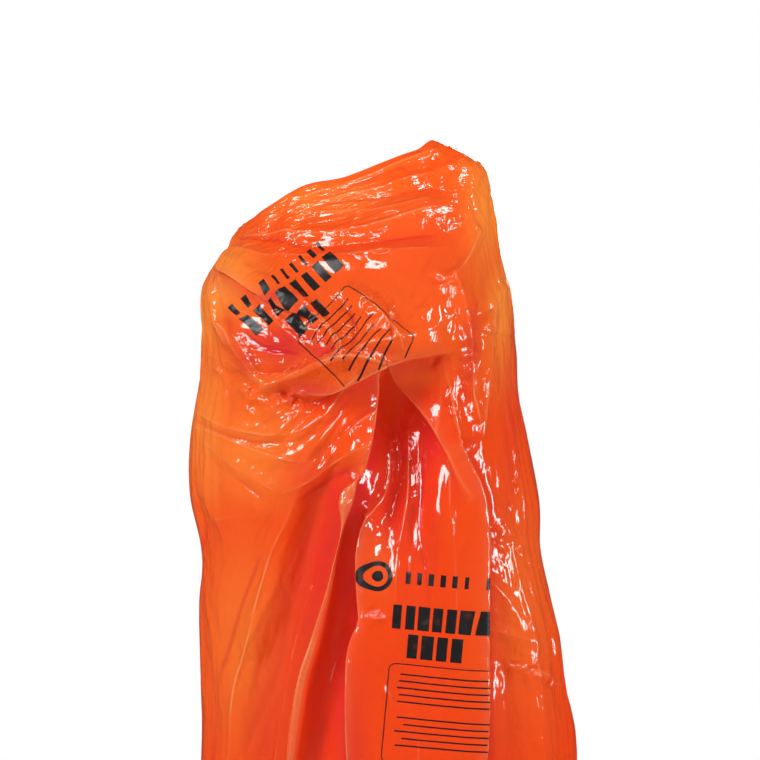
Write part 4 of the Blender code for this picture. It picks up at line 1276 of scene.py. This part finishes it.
def laidPrint(name, marks, at, slope, inView=lambda u, w: True):
    # Lays flat marks on the film, with their origin at a place of the drawing, up to a fold.
    cos, sin, scale = math.cos(slope), math.sin(slope), drawing["perMetre"]
    points, faces = [], []
    for flat, its in marks:
        drawn = [(at[0] + (x * cos - y * sin) * scale, at[1] - (x * sin + y * cos) * scale) for x, y in flat]
        kept = [face for face in its if all(inView(*drawn[k]) for k in face)]
        used = {k: len(points) + i for i, k in enumerate(sorted({k for face in kept for k in face}))}
        points += [tuple(findPlace(*drawn[k])) for k in used]
        faces += [tuple(used[k] for k in face) for face in kept]
    mesh = bpy.data.meshes.new(name)
    mesh.from_pydata(points, [], faces)
    mesh.materials.append(black)
    shape = bmesh.new()
    shape.from_mesh(mesh)
    for face in shape.faces:
        face.normal_update()
    wrong = [face for face in shape.faces if face.normal.y > 0]
    bmesh.ops.reverse_faces(shape, faces=wrong)
    shape.to_mesh(mesh)
    shape.free()
    mesh.shade_smooth()
    made = bpy.data.objects.new(name, mesh)
    bpy.context.scene.collection.objects.link(made)
    print(name, len(faces), "faces")
    return made


black = inkMaterial()
barRow, barIds = barTree()
findPlace = filmFinder(webs["front"])
lowerMarks = [
    ringMarks(0.025, 0.0175, (0, 0)),
    ringMarks(0.009, 0.0004, (0, 0)),
    barMarks(8, (0.0190, 0), 0.020, 0.004, 0.009, 3, (0.052, 0.002)),
    barMarks(9, (0.0225, 0), 0.040, 0.013, 0.019, 8, (0.038, -0.064)),
    barMarks(4, (0.0245, 0), 0.040, 0.014, 0.020, 5, (0.068, -0.112)),
    frameMarks(0.190, 0.165, 0.012, 0.0016, (0.031, -0.142)),
    barMarks(5, (0, -0.0115), 0.0024, 0.145, 0.160, 2, (0.126, -0.160)),
    barMarks(5, (0, -0.0115), 0.0024, 0.120, 0.160, 4, (0.126, -0.232)),
]
upperMarks = [
    barMarks(10, (0.0190, 0), 0.019, 0.004, 0.009, 6, (0.000, 0.044)),
    barMarks(8, (0.0240, 0), 0.036, 0.012, 0.019, 9, (0.000, 0.008)),
    barMarks(3, (0.0240, 0), 0.034, 0.013, 0.019, 12, (0.052, -0.040)),
]
panelMarks = [
    frameMarks(0.125, 0.143, 0.008, 0.0015, (0, 0)),
    barMarks(9, (0, -0.0125), 0.0020, 0.070, 0.104, 7, (0.062, -0.018)),
]
prints = [
    laidPrint("lower_print", lowerMarks, (378, 578), math.radians(-5), lambda u, w: u < 484),
    laidPrint("upper_print", upperMarks, (260, 333), math.radians(41)),
    laidPrint(
        "panel_print", panelMarks, (298, 345), math.radians(50),
        lambda u, w: w < np.interp(u, (296, 330, 360, 388, 416), (390, 390, 374, 358, 352)),
    ),
]

# The weld across the closed end, with the ribs that the hot bar leaves

weldLook = {
    "colour": (0.62, 0.06, 0.008, 1),
    "paleColour": (0.85, 0.14, 0.02, 1),
    "roughness": 0.3,
    "thick": 0.0022,
    "ribs": 200,
    "ribWidth": 0.0018,
    "ribHeight": 0.0012,
    "ribReach": 0.9,  # of the weld's width
}


def weldMaterial():
    made, nodes, links, shader = newMaterial("weldedFilm")
    coordinates = nodes.new("ShaderNodeTexCoord")
    cloud = nodes.new("ShaderNodeTexNoise")
    cloud.inputs["Scale"].default_value = 30
    links.new(coordinates.outputs["Object"], cloud.inputs["Vector"])
    blend = nodes.new("ShaderNodeMix")
    blend.data_type = "RGBA"
    blend.inputs["A"].default_value = weldLook["colour"]
    blend.inputs["B"].default_value = weldLook["paleColour"]
    links.new(cloud.outputs["Fac"], blend.inputs["Factor"])
    links.new(blend.outputs["Result"], shader.inputs["Base Color"])
    shader.inputs["Roughness"].default_value = weldLook["roughness"]
    return made


def ribTree():
    tree = bpy.data.node_groups.new("weldRibs", "GeometryNodeTree")
    tree.interface.new_socket("Geometry", in_out="OUTPUT", socket_type="NodeSocketGeometry")
    ids = {}
    for name, kind in (
        ("Count", "Int"), ("Start", "Vector"), ("Pitch", "Vector"), ("Size", "Vector"), ("Film", "Material"),
    ):
        socket = tree.interface.new_socket(name, in_out="INPUT", socket_type="NodeSocket" + kind)
        ids[name] = socket.identifier
    nodes, links = tree.nodes, tree.links
    given, result = nodes.new("NodeGroupInput"), nodes.new("NodeGroupOutput")
    line = nodes.new("GeometryNodeMeshLine")
    rib = nodes.new("GeometryNodeMeshCube")
    onPoints = nodes.new("GeometryNodeInstanceOnPoints")
    real = nodes.new("GeometryNodeRealizeInstances")
    coated = nodes.new("GeometryNodeSetMaterial")
    links.new(given.outputs["Count"], line.inputs["Count"])
    links.new(given.outputs["Start"], line.inputs["Start Location"])
    links.new(given.outputs["Pitch"], line.inputs["Offset"])
    links.new(given.outputs["Size"], rib.inputs["Size"])
    links.new(line.outputs["Mesh"], onPoints.inputs["Points"])
    links.new(rib.outputs["Mesh"], onPoints.inputs["Instance"])
    links.new(onPoints.outputs["Instances"], real.inputs["Geometry"])
    links.new(real.outputs["Geometry"], coated.inputs["Geometry"])
    links.new(given.outputs["Film"], coated.inputs["Material"])
    links.new(coated.outputs["Geometry"], result.inputs["Geometry"])
    return tree, ids


def makeWeld():
    low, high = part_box("bottom_weld")
    material = weldMaterial()
    tree, ids = ribTree()
    width, length, thick = high.y - low.y, high.x - low.x, weldLook["thick"]
    shape = bmesh.new()
    bmesh.ops.create_cube(shape, size=1)
    for vert in shape.verts:
        vert.co = (vert.co.x * length, vert.co.y * width + depthShift, vert.co.z * thick + thick / 2)
    mesh = bpy.data.meshes.new("bottom_seam")
    shape.to_mesh(mesh)
    shape.free()
    holder = bpy.data.objects.new("ribs", bpy.data.meshes.new("ribs"))
    bpy.context.scene.collection.objects.link(holder)
    modifier = holder.modifiers.new("ribs", "NODES")
    modifier.node_group = tree
    pitch = length / weldLook["ribs"]
    ribSize = (weldLook["ribWidth"], width * weldLook["ribReach"], weldLook["ribHeight"])
    for name, value in (
        ("Count", weldLook["ribs"]), ("Start", (low.x + pitch / 2, depthShift, thick)),
        ("Pitch", (pitch, 0, 0)), ("Size", ribSize), ("Film", material),
    ):
        modifier[ids[name]] = value
    ribs = bpy.data.meshes.new_from_object(holder.evaluated_get(bpy.context.evaluated_depsgraph_get()))
    bpy.data.objects.remove(holder)
    shape = bmesh.new()
    shape.from_mesh(mesh)
    shape.from_mesh(ribs)
    shape.to_mesh(mesh)
    shape.free()
    mesh.materials.clear()
    mesh.materials.append(material)
    made = bpy.data.objects.new("bottom_seam", mesh)
    bpy.context.scene.collection.objects.link(made)
    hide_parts("bottom_weld")
    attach(made, "root")


makeWeld()
print("weld ready")

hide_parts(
    "chest_wrap_left", "chest_wrap_right", "left_drape", "front_recess", "right_drape",
    "foot_panel_front",
)
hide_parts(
    "cape_left", "cape_right", "back_fall_left", "back_fall_middle", "back_fall_right",
    "foot_panel_back",
)
for piece in prints:
    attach(piece, "root")
for web, piece in pieces.items():
    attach(piece, "root")

# Stage: floor, lamps, camera

stage = {
    "floorRadius": 2.4,
    "floorColour": (0.86, 0.86, 0.86, 1),
    "fadeFrom": 0.9,  # the floor fades out between these radii
    "fadeTo": 2.35,
    "worldStrength": 0.12,
    "glossyShare": -0.08,  # below 0, so that the film mirrors a dimmer world than lights it
}


def makeFloor():
    mesh = bpy.data.meshes.new("floor")
    shape = bmesh.new()
    bmesh.ops.create_circle(shape, cap_ends=True, segments=96, radius=stage["floorRadius"])
    shape.to_mesh(mesh)
    shape.free()
    made, nodes, links, shader = newMaterial("paleFloor")
    shader.inputs["Base Color"].default_value = stage["floorColour"]
    shader.inputs["Roughness"].default_value = 0.9
    coordinates = nodes.new("ShaderNodeTexCoord")
    length = nodes.new("ShaderNodeVectorMath")
    length.operation = "LENGTH"
    links.new(coordinates.outputs["Object"], length.inputs[0])
    fade = nodes.new("ShaderNodeMapRange")
    fade.interpolation_type = "SMOOTHSTEP"
    fade.inputs["From Min"].default_value = stage["fadeFrom"]
    fade.inputs["From Max"].default_value = stage["fadeTo"]
    links.new(length.outputs["Value"], fade.inputs["Value"])
    clear = nodes.new("ShaderNodeBsdfTransparent")
    mixer = nodes.new("ShaderNodeMixShader")
    links.new(fade.outputs["Result"], mixer.inputs["Fac"])
    links.new(shader.outputs["BSDF"], mixer.inputs[1])
    links.new(clear.outputs["BSDF"], mixer.inputs[2])
    links.new(mixer.outputs["Shader"], nodes["Material Output"].inputs["Surface"])
    mesh.materials.append(made)
    floor = bpy.data.objects.new("floor", mesh)
    floor.visible_glossy = False
    bpy.context.scene.collection.objects.link(floor)


def makeWorld():
    world = bpy.data.worlds.new("studio")
    bpy.context.scene.world = world
    world.use_nodes = True
    nodes, links = world.node_tree.nodes, world.node_tree.links
    background = nodes["Background"]
    background.inputs["Color"].default_value = (1, 1, 1, 1)
    rays = nodes.new("ShaderNodeLightPath")
    seen = nodes.new("ShaderNodeMath")
    seen.operation = "MAXIMUM"
    links.new(rays.outputs["Is Camera Ray"], seen.inputs[0])
    links.new(rays.outputs["Is Transmission Ray"], seen.inputs[1])
    seenToo = nodes.new("ShaderNodeMath")
    seenToo.operation = "MULTIPLY_ADD"
    seenToo.inputs[1].default_value = stage["glossyShare"]
    links.new(rays.outputs["Is Glossy Ray"], seenToo.inputs[0])
    links.new(seen.outputs[0], seenToo.inputs[2])
    strength = nodes.new("ShaderNodeMapRange")
    strength.clamp = False
    strength.inputs["To Min"].default_value = stage["worldStrength"]
    strength.inputs["To Max"].default_value = 1
    links.new(seenToo.outputs[0], strength.inputs["Value"])
    links.new(strength.outputs["Result"], background.inputs["Strength"])


def makeLamp(name, place, target, size, power, glossy):
    light = bpy.data.lights.new(name, "AREA")
    light.shape = "RECTANGLE"
    light.size, light.size_y = size
    light.energy = power
    lamp = bpy.data.objects.new(name, light)
    lamp.location = place
    lamp.rotation_euler = (Vector(target) - Vector(place)).to_track_quat("-Z", "Y").to_euler()
    lamp.visible_glossy = glossy
    bpy.context.scene.collection.objects.link(lamp)


makeFloor()
makeWorld()
for name, values in lamps.items():
    makeLamp(name, *values)

camera = bpy.data.cameras.new("camera")
camera.sensor_width = 36
camera.lens = camera.sensor_width * drawing["viewDistance"] * drawing["perMetre"] / drawing["frame"]
viewer = bpy.data.objects.new("camera", camera)
viewer.location = eyePlace + np.array((0, depthShift, 0))
viewer.rotation_euler = (math.pi / 2, 0, 0)
bpy.context.scene.collection.objects.link(viewer)
bpy.context.scene.camera = viewer
bpy.context.scene.view_settings.view_transform = "Standard"
print("stage ready")
